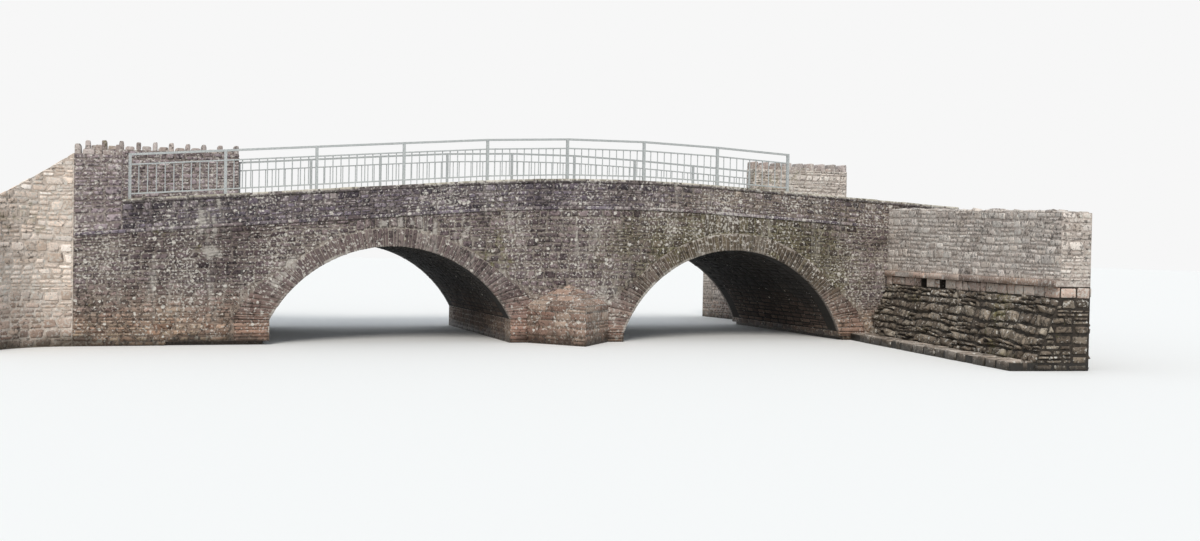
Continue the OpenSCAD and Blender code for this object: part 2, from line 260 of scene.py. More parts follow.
def wing_above(side, top):
    """Top of a curved wing wall: u is its turn, v the radius, w stands on the slope."""
    def place(u, v, w):
        x, y = wing_point(side, u, v)
        return np.stack([x, y, top(x) + w], -1)
    return place


def straight_axes(side):
    """Foot of a straight wing wall, the direction along it and the one into it."""
    along = np.array([-math.sin(STRAIGHT_TURN), side * math.cos(STRAIGHT_TURN), 0.0])
    into = np.array([math.cos(STRAIGHT_TURN), side * math.sin(STRAIGHT_TURN), 0.0])
    return np.array([STRAIGHT_X, side * HALF_W, 0.0]), along, into


def straight_faces(side):
    """Near face, back and far end of a straight wing wall: u runs along it, or into it on
    its end, and v is Z."""
    origin, along, into = straight_axes(side)
    return (plane(origin, along, UP, -into),
            plane(origin + into * STRAIGHT_T, along, UP, into),
            plane(origin + along * STRAIGHT_LEN[side], into, UP, along))


# Layout of courses
def steps(start, end, size, spread=0.35):
    """Cuts a length into near-equal random steps that end exactly at its end."""
    count = max(1, round((end - start) / size))
    widths = 1 + spread * RNG.uniform(-1, 1, count)
    return start + (end - start) * np.concatenate([[0], np.cumsum(widths) / widths.sum()])


def spaced(start, end, size, spread, gap):
    """Both ends of each stone in one row, drawn in by the gap."""
    cuts = steps(start, end, size, spread)
    return cuts[:-1] + gap, cuts[1:] - gap


def quads_of(*pairs):
    """Corners (n, 4, 2) of stones from four (u, v) pairs of arrays or numbers."""
    return np.stack([np.stack(np.broadcast_arrays(*pair), -1) for pair in pairs], 1)


def slabs(a, b, near, far):
    """Corners of stones from a to b in u and from near to far in v, where near and far are
    numbers, arrays or lines over u."""
    def at(line, u):
        return line(u) if callable(line) else line
    return quads_of((a, at(near, a)), (b, at(near, b)), (b, at(far, b)), (a, at(far, a)))


def lay_row(row, size, lean, uneven=0.1):
    """One row of stones between two cuts; neighbours share a joint that leans a little,
    and each stone falls short of the row's height by its own small share."""
    left, right, low_share, high_share = row
    cuts = steps(left, right, size, 0.5)
    tilt = RNG.uniform(-lean, lean, len(cuts)) * size
    tilt[0] = tilt[-1] = 0
    base, top = cuts + tilt, cuts - tilt
    short = RNG.uniform(0, uneven, (2, len(cuts) - 1)) * (high_share - low_share)
    low_row, high_row = low_share + short[0], high_share - short[1]
    return quads_of((base[:-1], low_row), (base[1:], low_row),
                    (top[1:], high_row), (top[:-1], high_row))


def level(height):
    return lambda u: np.zeros_like(u) + height


def courses(span, base, top, course, size, gap, split=0.5, lean=0.08, wave=0.0, uneven=0.1):
    """Rubble laid in courses between base and top, each a height or a line over u.

    A course is a share of that height. It is cut into panels, and a panel holds one row
    of stones or, for the share split of them, two thin rows. Returns corners (n, 4, 2)."""
    base, top = (line if callable(line) else level(line) for line in (base, top))
    middle = np.linspace(*span, 40)
    shares = steps(0, 1, course / float(np.mean(top(middle) - base(middle))), 0.3)
    rows = []
    for low_share, high_share in zip(shares[:-1], shares[1:]):
        cuts = steps(*span, size * 2.7, 0.5)
        for left, right in zip(cuts[:-1], cuts[1:]):
            panel = ((low_share, high_share, 1.25),)
            if RNG.random() < split:
                share = low_share + (high_share - low_share) * RNG.uniform(0.4, 0.6)
                panel = ((low_share, share, 1.0), (share, high_share, 1.1))
            rows += [lay_row((left, right, a, b), size * longer, lean, uneven)
                     for a, b, longer in panel]
    quads = np.concatenate(rows)
    u, share = quads[..., 0], quads[..., 1]
    v = base(u) + (top(u) - base(u)) * share
    v = v + wave * smooth_noise(u, share * 3, 1.1, 5) * 4 * share * (1 - share)
    return open_joints(np.stack([u, v], -1), gap)


LAYOUT = ("split", "lean", "wave", "uneven")


def rubble(place, rise, *sizes, **more):
    """Stones in courses on one surface: the sizes and what lays the courses out go to
    courses, and the rest goes to stones."""
    layout = {key: more.pop(key) for key in LAYOUT if key in more}
    return stones(courses(*sizes, **layout), place, rise, **more)


def open_joints(quads, gap):
    """Draws each side of every stone in by half a joint."""
    return quads + np.array([[1, 1], [-1, 1], [-1, -1], [1, -1]]) * gap / 2


# Trims: each takes the outlines (n, k, 2) and returns them cut, with the stones to keep
def cut_at(axis, line, bound):
    """Moves points that pass a line back to it: bound is np.minimum or np.maximum, and
    the line gives the limit in this axis from the place in the other."""
    def trim(points):
        points = points.copy()
        points[..., axis] = bound(points[..., axis], line(points[..., 1 - axis]))
        return points, np.ones(len(points), bool)
    return trim


def near_springing(arch, angle):
    """0 over most of the ring, rising by a smoothstep to 1 at the springing."""
    share = np.clip((np.abs(angle) / arch.half - LONG_FROM) / (1 - LONG_FROM), 0, 1)
    return share * share * (3 - 2 * share)


def ring_back(arch, angle):
    """Radius of the back of the ring: one depth, growing over the flat springing stones."""
    return arch.r + RING_T + LONG_STONE * near_springing(arch, angle)


def bed_turn(arch, angle):
    """Turn of a bed's outer end below the radius: none over the crown, and at the
    springing just enough to lay the bed level."""
    reach = arch.r + RING_T + LONG_STONE
    level_turn = math.acos((arch.spring - arch.cz) / reach) - arch.half
    return np.sign(angle) * level_turn * near_springing(arch, angle)


def clear_arches(points):
    """Keeps wall stones off the rings, the openings and the long stones at the jambs.

    Over a springing the near points move out along the radius to the back of the ring,
    below it they stop at the strip of dressed stones beside the jamb."""
    points = points.copy()
    keep = np.ones(len(points), bool)
    margin = 0.006
    for arch in ARCHES:
        dx, dz = points[..., 0] - arch.cx, points[..., 1] - arch.cz
        angle, reach = np.arctan2(dx, dz), np.hypot(dx, dz)
        middle = points.mean(1)
        mx, mz = middle[:, 0] - arch.cx, middle[:, 1] - arch.cz
        above = middle[:, 1] > arch.spring
        keep &= ~(above & (np.hypot(mx, mz) < ring_back(arch, np.arctan2(mx, mz))))
        back = ring_back(arch, angle) + margin
        factor = np.where((reach < back) & above[:, None], back / np.maximum(reach, 1e-6), 1.0)
        points[..., 0] = arch.cx + dx * factor
        points[..., 1] = arch.cz + dz * factor
        inner_l, inner_r = arch.left - QUOIN, arch.right + QUOIN
        keep &= above | (middle[:, 0] < inner_l) | (middle[:, 0] > inner_r)
        for beside, limit, bound in ((middle[:, 0] <= inner_l, inner_l, np.minimum),
                                     (middle[:, 0] >= inner_r, inner_r, np.maximum)):
            points[..., 0] = np.where((~above & beside)[:, None],
                                      bound(points[..., 0], limit), points[..., 0])
    return points, keep


def clear_crowns(points):
    """Leaves the stretch over each crown to the row of upright stones."""
    points = points.copy()
    keep = np.ones(len(points), bool)
    for arch in ARCHES:
        middle = points.mean(1)
        over = middle[:, 1] > arch.cz + arch.r
        keep &= ~(over & (np.abs(middle[:, 0] - arch.cx) < CROWN_HALF))
        for hand in (-1, 1):
            edge = arch.cx + hand * CROWN_HALF
            near = (over & (hand * (middle[:, 0] - edge) > 0))[:, None]
            points[..., 0] = np.where(near & (hand * (points[..., 0] - edge) < 0), edge,
                                      points[..., 0])
    return points, keep


def rounded_square(count, squareness):
    """Rounded square of half side 1: at angle t each coordinate is the cosine or the sine
    of t, kept in sign and with its size raised to the squareness."""
    t = (np.arange(count) + 0.5) * 2 * math.pi / count
    return [np.sign(wave) * np.abs(wave) ** squareness for wave in (np.cos(t), np.sin(t))]


# Share of its relief that a stone reaches at its rim and at its shoulder, and how far each
# point of these may depart from that
RIM_SHARE, SHOULDER_SHARE = 0.42, 0.93
BUMP = 0.16


def stones(quads, place, rise, sunk=0.012, count=8, square=0.24, rough=0.06, inset=0.22,
           tilt=0.25, trims=(), swell=0.0, both=False, least=0.012, rim=0.0):
    """Closed stones from corners (n, 4, 2), laid on a surface by place(u, v, w).

    Each stone is a stack of rings: one sunk under the wall's face, a rim, a shoulder drawn
    in by inset, and a pole that stands out by rise. A tilt leans its face, and rough moves
    every outline point in by a random share. With both, the stack is the same at its back.
    A stone is left out where its area over half its outline's length is under least.
    The relief attribute is 0 on a stone's sides and 1 on its face, with rim at the edge."""
    s, t = rounded_square(count, square)
    weight = np.stack([(1 - s) * (1 - t), (1 + s) * (1 - t), (1 + s) * (1 + t),
                       (1 - s) * (1 + t)], -1) / 4
    outline = np.einsum("kc,ncd->nkd", weight, quads)
    centre = quads.mean(1, keepdims=True)
    pull = RNG.uniform(0, rough * 2, outline.shape[:2])[..., None]
    outline = outline + (centre - outline) * pull
    keep = np.ones(len(outline), bool)
    for trim in trims:
        outline, kept = trim(outline)
        keep &= kept
    following = np.roll(outline, -1, 1)
    area = 0.5 * np.abs((outline[..., 0] * following[..., 1]
                         - outline[..., 1] * following[..., 0]).sum(1))
    edge = np.linalg.norm(following - outline, axis=-1).sum(1)
    keep &= 2 * area / np.maximum(edge, 1e-9) > least
    outline = outline[keep]
    n = len(outline)
    centre = outline.mean(1, keepdims=True)
    away = outline - centre
    lean = RNG.uniform(-tilt, tilt, (n, 1, 2))
    lift = RNG.uniform(*rise, (n, 1))
    lift = lift + swell * smooth_noise(centre[:, :, 0], centre[:, :, 1], 1.6, 9)
    lift = np.maximum(lift, rise[0] * 0.5)
    slope = (away / np.abs(away).max(1, keepdims=True) * lean).sum(-1) * lift
    bump = 1 + RNG.uniform(-BUMP, BUMP, (n, count))
    shoulder = away * (1 - inset * RNG.uniform(0.6, 1.4, (n, count))[..., None])
    deep = np.zeros((n, count)) - sunk
    rings = [(away, deep), (away, (RIM_SHARE * lift + 0.5 * slope) * bump),
             (shoulder, (SHOULDER_SHARE * lift + slope) * bump)]
    poles = [lift[:, 0] * RNG.uniform(0.95, 1.1, n)]
    if both:
        rings = [(shoulder, -sunk - (SHOULDER_SHARE * lift) * bump),
                 (away, deep - RIM_SHARE * lift * bump)] + rings[1:]
        poles.append(-sunk - lift[:, 0])
    u, v = (np.concatenate([centre[..., axis] + ring[..., axis] for ring, _ in rings]
                           + [centre[..., axis]] * len(poles), 1) for axis in (0, 1))
    w = np.concatenate([height for _, height in rings] + [pole[:, None] for pole in poles], 1)
    points = place(u, v, w)
    faces = stack_faces(count, len(rings), both)
    if turned_in(place, centre[0, 0] if n else np.zeros(2)):
        faces = [f[:, ::-1] for f in faces]
    shade = np.repeat(RNG.random((n, 1, 3)), points.shape[1], 1)
    relief = np.zeros(points.shape[:2])
    relief[:, count * (len(rings) - 2):] = rim
    relief[:, count * (len(rings) - 1):] = 1
    return {"points": points, "faces": faces, "shade": shade, "relief": relief}


def stack_faces(count, rings, both):
    """Faces of one stack of rings: walls of four corners, a fan to the pole and a back."""
    k = np.arange(count)
    after = (k + 1) % count
    walls = np.concatenate([np.stack([k, after, count + after, count + k], -1) + i * count
                            for i in range(rings - 1)])
    last = (rings - 1) * count
    pole = np.full(count, rings * count)
    fan = np.stack([last + k, last + after, pole], -1)
    if both:
        return [walls, np.concatenate([fan, np.stack([after, k, pole + 1], -1)])]
    return [walls, fan, k[None, ::-1]]


def turned_in(place, at):
    """True where u, v and w form a left-handed set, so that faces have to be reversed."""
    small = 1e-3
    here = np.array([at[0], at[1], 0.0])
    points = place(*(here[:, None] + small * np.eye(3, 4, 1)))
    du, dv, dw = points[1:] - points[0]
    return float(np.dot(np.cross(du, dv), dw)) < 0


def add_piece(name, batches, material):
    """One object from batches of closed stones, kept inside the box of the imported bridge."""
    points, loops, sizes, shade, relief = [], [], [], [], []
    start = 0
    for batch in batches:
        n, per_stone = batch["points"].shape[:2]
        offset = start + np.arange(n)[:, None, None] * per_stone
        for faces in batch["faces"]:
            loops.append((faces[None] + offset).ravel())
            sizes.append(np.full(n * len(faces), faces.shape[1]))
        points.append(batch["points"].reshape(-1, 3))
        shade.append(batch["shade"].reshape(-1, 3))
        relief.append(batch["relief"].ravel())
        start += n * per_stone
    points = np.clip(np.concatenate(points), *(np.array(corner) for corner in CAD_BOX))
    loops, sizes = np.concatenate(loops), np.concatenate(sizes)
    mesh = bpy.data.meshes.new(name)
    mesh.vertices.add(len(points))
    mesh.vertices.foreach_set("co", points.ravel())
    mesh.loops.add(len(loops))
    mesh.loops.foreach_set("vertex_index", loops)
    mesh.polygons.add(len(sizes))
    mesh.polygons.foreach_set("loop_start", np.cumsum(sizes) - sizes)
    mesh.polygons.foreach_set("use_smooth", np.ones(len(sizes), bool))
    mesh.update(calc_edges=True)
    mesh.attributes.new("shade", "FLOAT_VECTOR", "POINT").data.foreach_set(
        "vector", np.concatenate(shade).ravel())
    mesh.attributes.new("relief", "FLOAT", "POINT").data.foreach_set(
        "value", np.concatenate(relief))
    mesh.materials.append(material)
    piece = bpy.data.objects.new(name, mesh)
    bpy.context.scene.collection.objects.link(piece)
    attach(piece, BODY)
    return piece


# Shader values
class Value:
    """A shader output that adds, subtracts, multiplies and divides like a number."""

    def __init__(self, tree, socket):
        self.tree, self.socket = tree, socket

    def __add__(self, other):
        return calc("ADD", self, other)

    def __sub__(self, other):
        return calc("SUBTRACT", self, other)

    def __mul__(self, other):
        return calc("MULTIPLY", self, other)

    def __truediv__(self, other):
        return calc("DIVIDE", self, other)


class Outputs:
    """Outputs of one shader node, by name or number."""

    def __init__(self, tree, sockets):
        self.tree, self.sockets = tree, sockets

    def __getitem__(self, key):
        return Value(self.tree, self.sockets[key])


def feed(socket, value):
    """Links a shader value to an input, or sets the input to a plain number or colour."""
    if isinstance(value, Value):
        value.tree.links.new(value.socket, socket)
    else:
        socket.default_value = value


def put(tree, kind, inputs=None, **settings):
    """Adds a shader node with its settings and inputs, and returns its outputs."""
    made = tree.nodes.new(kind)
    for name, value in settings.items():
        setattr(made, name, value)
    for key, value in (inputs or {}).items():
        feed(made.inputs[key], value)
    return Outputs(tree, made.outputs)


def tree_of(*values):
    return next(value.tree for value in values if isinstance(value, Value))


def calc(operation, a, b=0.0, clamp=False):
    return put(tree_of(a, b), "ShaderNodeMath", {0: a, 1: b}, operation=operation,
               use_clamp=clamp)[0]


def vector(operation, a, b=(0, 0, 0), out="Vector"):
    return put(a.tree, "ShaderNodeVectorMath", {0: a, 1: b}, operation=operation)[out]


def split(where):
    return put(where.tree, "ShaderNodeSeparateXYZ", {0: where})


def blend(share, a, b, kind="MIX"):
    return put(tree_of(share, a, b), "ShaderNodeMix", {0: share, 6: a, 7: b},
               data_type="RGBA", blend_type=kind)[2]


def fade(value, start, end, to_start=0.0, to_end=1.0):
    """Smooth ramp of a value between two limits."""
    return put(value.tree, "ShaderNodeMapRange", {
        "Value": value, "From Min": start, "From Max": end, "To Min": to_start,
        "To Max": to_end}, interpolation_type="SMOOTHSTEP")[0]


def noise(where, scale, detail=3.0, rough=0.55, out="Fac"):
    return put(where.tree, "ShaderNodeTexNoise", {
        "Vector": where, "Scale": scale, "Detail": detail, "Roughness": rough})[out]


def cells(where, scale):
    """Cells of a Voronoi pattern: the distance to each middle, and two draws for a cell."""
    made = put(where.tree, "ShaderNodeTexVoronoi", {"Vector": where, "Scale": scale})
    draw = put(where.tree, "ShaderNodeSeparateColor", {0: made["Color"]})
    return made["Distance"], draw[0], draw[1]


def tone(code):
    """Linear colour from a hexadecimal sRGB code."""
    parts = [int(code[i:i + 2], 16) / 255 for i in (0, 2, 4)]
    return tuple(c / 12.92 if c <= 0.04045 else ((c + 0.055) / 1.055) ** 2.4
                 for c in parts) + (1.0,)


def ramp(value, codes):
    """Colour ramp with evenly spread stops."""
    stops = codes.split()
    made = value.tree.nodes.new("ShaderNodeValToRGB")
    feed(made.inputs["Fac"], value)
    line = made.color_ramp.elements
    while len(line) < len(stops):
        line.new(0.5)
    for i, stop in enumerate(stops):
        line[i].position = i / (len(stops) - 1)
        line[i].color = tone(stop)
    return Value(value.tree, made.outputs["Color"])


def new_group(name, numbers, masks, vectors=()):
    """Empty node group: a place, other vectors and numbers go in, and masks come out."""
    tree = bpy.data.node_groups.new(name, "ShaderNodeTree")

    def socket(label, way, kind="Float"):
        return tree.interface.new_socket(name=label, in_out=way, socket_type="NodeSocket" + kind)

    for label in ("Place",) + vectors:
        socket(label, "INPUT", "Vector")
    for label, value in numbers.items():
        socket(label, "INPUT").default_value = value
    for label in masks:
        socket(label, "OUTPUT")
    given = Outputs(tree, tree.nodes.new("NodeGroupInput").outputs)
    return tree, given, tree.nodes.new("NodeGroupOutput").inputs


def use_group(group, place, **inputs):
    return put(place.tree, "ShaderNodeGroup", {"Place": place, **inputs}, node_tree=group)


def make_grain_group():
    """Grain of a stone: fine pits and broad mottling, as a tone factor and a height."""
    tree, given, result = new_group("stone_grain", {"Strength": 0.9}, ("Factor", "Height"))
    place = given["Place"]
    pits = cells(place, 95.0)[0]
    mottle = noise(place, 210.0, 3.0, 0.7) * 0.45 + noise(place, 34.0, 4.0, 0.6) * 0.55
    feed(result["Factor"], (mottle - 0.5) * 2.0 * given["Strength"] + 1.0)
    feed(result["Height"], mottle + fade(pits, 0.0, 0.35) * 0.3)
    return tree


def make_growth_group():
    """Crusts on old stone: round pale lichen spots and flecks, yellow-green patches and
    dark grime. A higher input spreads its crust over more of the surface."""
    tree, given, result = new_group("crusts", {"Pale": 0.4, "Green": 0.3, "Dark": 0.4},
                                    ("Pale", "Green", "Dark"))
    place = given["Place"]
    pale, green, dark = ((given[key] - 0.5) * 0.4 for key in ("Pale", "Green", "Dark"))
    area = (noise(place, 1.3, 2.0, 0.5) - 0.5) * 0.3
    bend = noise(place, 30.0, 2.0, 0.5, "Color")
    bent = vector("ADD", place, vector("MULTIPLY", bend, (0.035, 0.035, 0.035)))
    distance, draw, other_draw = cells(bent, 15.0)
    radius = fade(draw + area + pale, 0.62, 1.05, 0.0, 0.5) * (other_draw + 0.3)
    spots = fade(distance - radius, 0.0, -0.09)
    flecks = fade(noise(place, 27.0, 2.0, 0.6) + area + pale, 0.525, 0.595) * 0.75
    feed(result["Pale"], calc("MAXIMUM", spots, flecks))
    moved = vector("ADD", place, (7.3, 2.1, 4.7))
    patches = noise(moved, 9.0, 5.0, 0.7) * 0.45 + noise(moved, 0.9, 3.0, 0.5) * 0.55
    feed(result["Green"], fade(patches + green, 0.50, 0.60))
    feed(result["Dark"], fade(noise(moved, 19.0, 3.0, 0.6) - area + dark, 0.52, 0.57))
    return tree


def make_streak_group():
    """Lime washed down a wall: noise drawn out along Z, with its own strength."""
    tree, given, result = new_group("lime_streaks", {"Strength": 0.4}, ("Mask",))
    lines = noise(vector("MULTIPLY", given["Place"], (8.5, 8.5, 0.9)), 1.0, 4.0, 0.65)
    area = noise(given["Place"], 0.8, 2.0, 0.5)
    feed(result["Mask"], fade(lines, 0.50, 0.72) * fade(area, 0.40, 0.62) * given["Strength"])
    return tree


def make_damp_group():
    """Damp at the foot of the walls: 1 at Z 0 and 0 above a height, with a ragged edge."""
    tree, given, result = new_group("damp_foot", {"Height": 0.3}, ("Mask",))
    ragged = (noise(given["Place"], 4.0, 3.0) - 0.5) * 0.35
    over = (split(given["Place"])["Z"] + ragged) / given["Height"]
    feed(result["Mask"], fade(over, 1.0, 0.1))
    return tree


def make_edge_group():
    """Pale lime along the edge of an arch: 1 on its circle and 0 past a width behind it,
    strong on the left half of the arch and faint on the right."""
    tree, given, result = new_group("arch_edge", {"Radius": 2.0, "Width": 0.05}, ("Mask",),
                                    ("Centre",))
    gap = split(vector("SUBTRACT", given["Place"], given["Centre"]))
    reach = calc("SQRT", gap["X"] * gap["X"] + gap["Z"] * gap["Z"])
    near = fade((reach - given["Radius"]) / given["Width"], 1.0, 0.5)
    broken = fade(noise(given["Place"], 2.2, 4.0, 0.6), 0.38, 0.58)
    feed(result["Mask"], near * broken * fade(gap["X"], -0.3, -1.2, 0.12, 1.0))
    return tree


def make_patch_group():
    """One patch: 1 at its centre, 0 past an ellipse of the given size, both moved by a
    ragged edge."""
    tree, given, result = new_group("patch", {"Ragged": 0.0}, ("Mask",), ("Centre", "Size"))
    share = vector("DIVIDE", vector("SUBTRACT", given["Place"], given["Centre"]), given["Size"])
    reach = vector("LENGTH", share, out="Value")
    feed(result["Mask"], fade(reach + given["Ragged"], 1.0, 0.4))
    return tree


GRAIN = make_grain_group()
EDGE = make_edge_group()
PATCH = make_patch_group()
GROWTH = make_growth_group()
STREAKS = make_streak_group()
DAMP = make_damp_group()

PALE_CRUST = tone("dbd6cd")
GREEN_CRUST = tone("77733f")
LIME = tone("c9c3ba")
DAMP_TINT = tone("5c5546")
DRY_ROUGH, DAMP_ROUGH = 0.88, 0.5

# Spills of lime on the front face: X, Z and their half width and half height
LIME_SPILLS = (
    (-5.70, 1.83, 0.07, 0.24), (-5.52, 1.78, 0.05, 0.22), (-5.46, 2.12, 0.03, 0.15),
    (-5.55, 1.38, 0.16, 0.12), (-4.66, 0.92, 0.07, 0.06), (-4.59, 0.99, 0.07, 0.06),
    (-4.52, 1.06, 0.07, 0.06), (-4.42, 1.22, 0.14, 0.14), (-1.80, 1.60, 0.04, 0.07),
    (-1.74, 1.70, 0.04, 0.07), (-1.68, 1.80, 0.04, 0.07), (-2.75, 1.86, 0.05, 0.11),
    (-2.42, 1.85, 0.03, 0.13), (-2.22, 1.82, 0.03, 0.12), (-3.02, 1.84, 0.10, 0.07),
    (-2.57, 1.88, 0.04, 0.06))
SPILL_DEPTH = 0.3
# Broad patches on the front face, given the same way, and the tint multiplied over the stone:
# painted shade of trees on the left spandrel, and green growth with painted shade over the right
# arch. The parapet's patch makes its right half lighter and warmer.
FACE_SHADE_AND_GROWTH = (
    (-5.6, 1.70, 1.6, 1.1, (0.68, 0.65, 0.66, 1.0)),
    (3.2, 1.40, 3.0, 1.5, (0.66, 0.68, 0.48, 1.0)))
PARAPET_LIGHTER_PATCH = ((4.2, 2.30, 3.8, 0.9, (1.22, 1.18, 1.0, 1.0)),)
PATCH_DEPTH = 0.5


def front_patch(place, spot, depth, ragged):
    """Mask of one patch on the front face, from its X, Z, half width and half height."""
    x, z, wide, tall = spot
    return use_group(PATCH, place, Centre=(x, -HALF_W, z), Size=(wide, depth, tall),
                     Ragged=ragged)["Mask"]


def new_material(name):
    """New material, the inputs of its shader and the place on the object."""
    made = bpy.data.materials.new(name)
    made.use_nodes = True
    place = put(made.node_tree, "ShaderNodeTexCoord")["Object"]
    return made, made.node_tree.nodes["Principled BSDF"].inputs, place


def emboss(shader, height, strength, distance, invert=False):
    feed(shader["Normal"], put(height.tree, "ShaderNodeBump", {
        "Height": height, "Strength": strength, "Distance": distance}, invert=invert)[0])


def masonry(name, stops, tint=None, spread=0.24, pale=0.35, green=0.25, dark=0.3, streaks=0.0,
            damp=0.22, joints=False, painted_side_shade=0.06, edge=0.0, spills=False,
            shaded_side_stops=None, inner_stops=None, stains=()):
    """Weathered stone. Each stone's own tone comes from its shade attribute; crusts, lime,
    damp and grain are laid over it by place. With joints it is the mortar of a wall.

    tint is a second palette that takes over low down, shaded_side_stops a darker one for a slab's
    sides as painted shade, and inner_stops a darker one for what lies behind the bridge's faces, as
    painted shade inside the arches; edge is the strength of the lime along the arches' edges."""
    made, shader, place = new_material(name)
    at = split(place)
    if joints:
        draw = noise(place, 6.0, 4.0, 0.6)
        colour = ramp(fade(draw, 0.3, 0.7), stops)
        bright = fade(noise(place, 23.0), 0.3, 0.7, 0.8, 1.12)
    else:
        shade = split(put(place.tree, "ShaderNodeAttribute", attribute_name="shade")["Vector"])
        relief = put(place.tree, "ShaderNodeAttribute", attribute_name="relief")["Fac"]
        draw = shade["Z"]
        pick = calc("ADD", shade["X"], (noise(place, 0.55, 2.0) - 0.5) * 0.9, clamp=True)
        colour = ramp(pick, stops)
        # Painted shade: the lower sides of a slab take the darker shaded_side_stops, while its top
        # keeps the paler stops
        if shaded_side_stops:
            colour = blend(fade(relief, 0.2, 0.8), ramp(pick, shaded_side_stops), colour)
        bright = fade(shade["Y"], 0.0, 1.0, 1 - spread, 1 + spread)
        # Painted shade: painted_side_shade darkens each stone's sides, where its relief is low, as
        # the shade in the joints between stones
        bright = bright * fade(relief, 0.0, 0.9, 1 - painted_side_shade, 1.0)
    if tint:
        share = fade(at["Z"] + noise(place, 1.1) * 0.9, 1.45, 0.5)
        colour = blend(share * 0.88, colour, ramp(draw, tint))
    grain = use_group(GRAIN, place)
    crust = use_group(GROWTH, place, Pale=pale, Green=green, Dark=dark)
    bright = bright * grain["Factor"] * fade(crust["Dark"], 0.0, 1.0, 1.0, 0.38)
    colour = blend(1.0, colour, bright, "MULTIPLY")
    # Broad patches multiplied over the colour: painted tree shade, and green growth with painted
    # shade, on the front face; a lighter, warmer patch on the parapet
    if stains:
        soft = noise(place, 2.5, 4.0, 0.6) - 0.5
        for *spot, over in stains:
            colour = blend(front_patch(place, spot, PATCH_DEPTH, soft), colour, over, "MULTIPLY")
    colour = blend(crust["Pale"] * 0.88, colour, PALE_CRUST)
    colour = blend(crust["Green"] * 0.5, colour, GREEN_CRUST)
    if streaks:
        colour = blend(use_group(STREAKS, place, Strength=streaks)["Mask"], colour, LIME)
    if spills:
        ragged = (noise(place, 16.0, 4.0, 0.7) - 0.5) * 3.2
        masks = [front_patch(place, spot, SPILL_DEPTH, ragged) for spot in LIME_SPILLS]
        spilt = functools.reduce(functools.partial(calc, "MAXIMUM"), masks)
        colour = blend(spilt * 0.6, colour, LIME)
    behind = calc("SUBTRACT", HALF_W, calc("ABSOLUTE", at["Y"]))
    # Painted shade: behind the bridge's faces, inside the arches, the colour turns to the darker
    # inner_stops
    if inner_stops:
        painted_inner_shade = blend(0.3, ramp(draw, inner_stops), colour, "MULTIPLY")
        colour = blend(fade(behind, 0.01, 0.09), colour, painted_inner_shade)
    if edge:
        lines = [use_group(EDGE, place, Centre=(arch.cx, 0, arch.cz), Radius=arch.r)["Mask"]
                 for arch in ARCHES]
        line = calc("MAXIMUM", *lines) * edge * fade(behind, 0.05, 0.02)
        colour = blend(line, colour, LIME)
    wet = use_group(DAMP, place, Height=damp)["Mask"]
    feed(shader["Base Color"], blend(wet * 0.9, colour, DAMP_TINT, "MULTIPLY"))
    feed(shader["Roughness"], fade(wet, 0.0, 1.0, DRY_ROUGH, DAMP_ROUGH))
    emboss(shader, grain["Height"], 0.6, 0.008)
    return made


FACE_TONES = "514345 685a5c 766869 837575 6d5f60 8c7e7b 605254 7e7070"
LOW_TONES = "9a7860 ae8e76 bc9e85 a88c74 cab297 9a8673"
PARAPET_TONES = "494148 5f555d 70666f 7e747e 8b8082 655b65 978c8a"
RING_TONES = "5f5151 6a5b59 756664 665756 7f716d 70615f"
COPING_TONES = "a09a8a b0a99a bdb6a8 958f80 c9c3b4"
# Darker tones for the sides of the coping slabs: painted shade under their pale tops
SHADED_COPING_SIDES = "5f5658 73696b 827879 6c6265 8e8482"
STRING_TONES = "70666f 7e747e 8b8082 655b65 978c8a 766869 837575 6d5f60 8c7e7b"
WING_TONES = "b9aba1 cfc3ba ded4cc c6b8ac e7ded5 bdb0a6"
# Pale pinkish stone of the curved wing walls, lightened further as painted sunlight
SUNLIT_CURVED_TONES = "dec9b8 eedbcc f8e9dc e8d2c0 fef3e9 dbc5b3"
HIGH_TONES = "7b6c6d 908185 a19397 8a7b7b aea0a2 817274"
RED_TONES = "86695b 9a7f70 a88e7e 7d675b b49e8d 8f7b6e"
QUOIN_TONES = "917262 a98775 b89987 8a7063 a28071 c6a997"
LEDGE_TONES = "a38b7b b99f90 c9b1a2 9b867b d5c3b4 b09c90"
# The ledge's tones made about 8 % lighter: painted light against the shadow that the ledge casts on
# the drain blocks
LIT_BLOCK_TONES = "b19787 c8ad9d d8c0b0 a89288 e2d1c2 bfaa9e"
FOOT_TONES = "9c8c7e b3a395 c5b6a8 a79788 d2c5b8 8f8073"
JAMB_TONES = "594940 6b574c 786457 62544a"
DRY_TONES = "53493f 6d6155 807364 958879 6b5e51 a69a8a"
# Stones of the vaults: dark damp stone, darkened further to near black as painted shade under the
# arches
SHADED_SOFFIT_TONES = "171412 1f1c18 26221e 2d2823 211e1b"
COCK_TONES = "a5968f b9aba5 c8bcb7 ac9c93 d3c9c3"

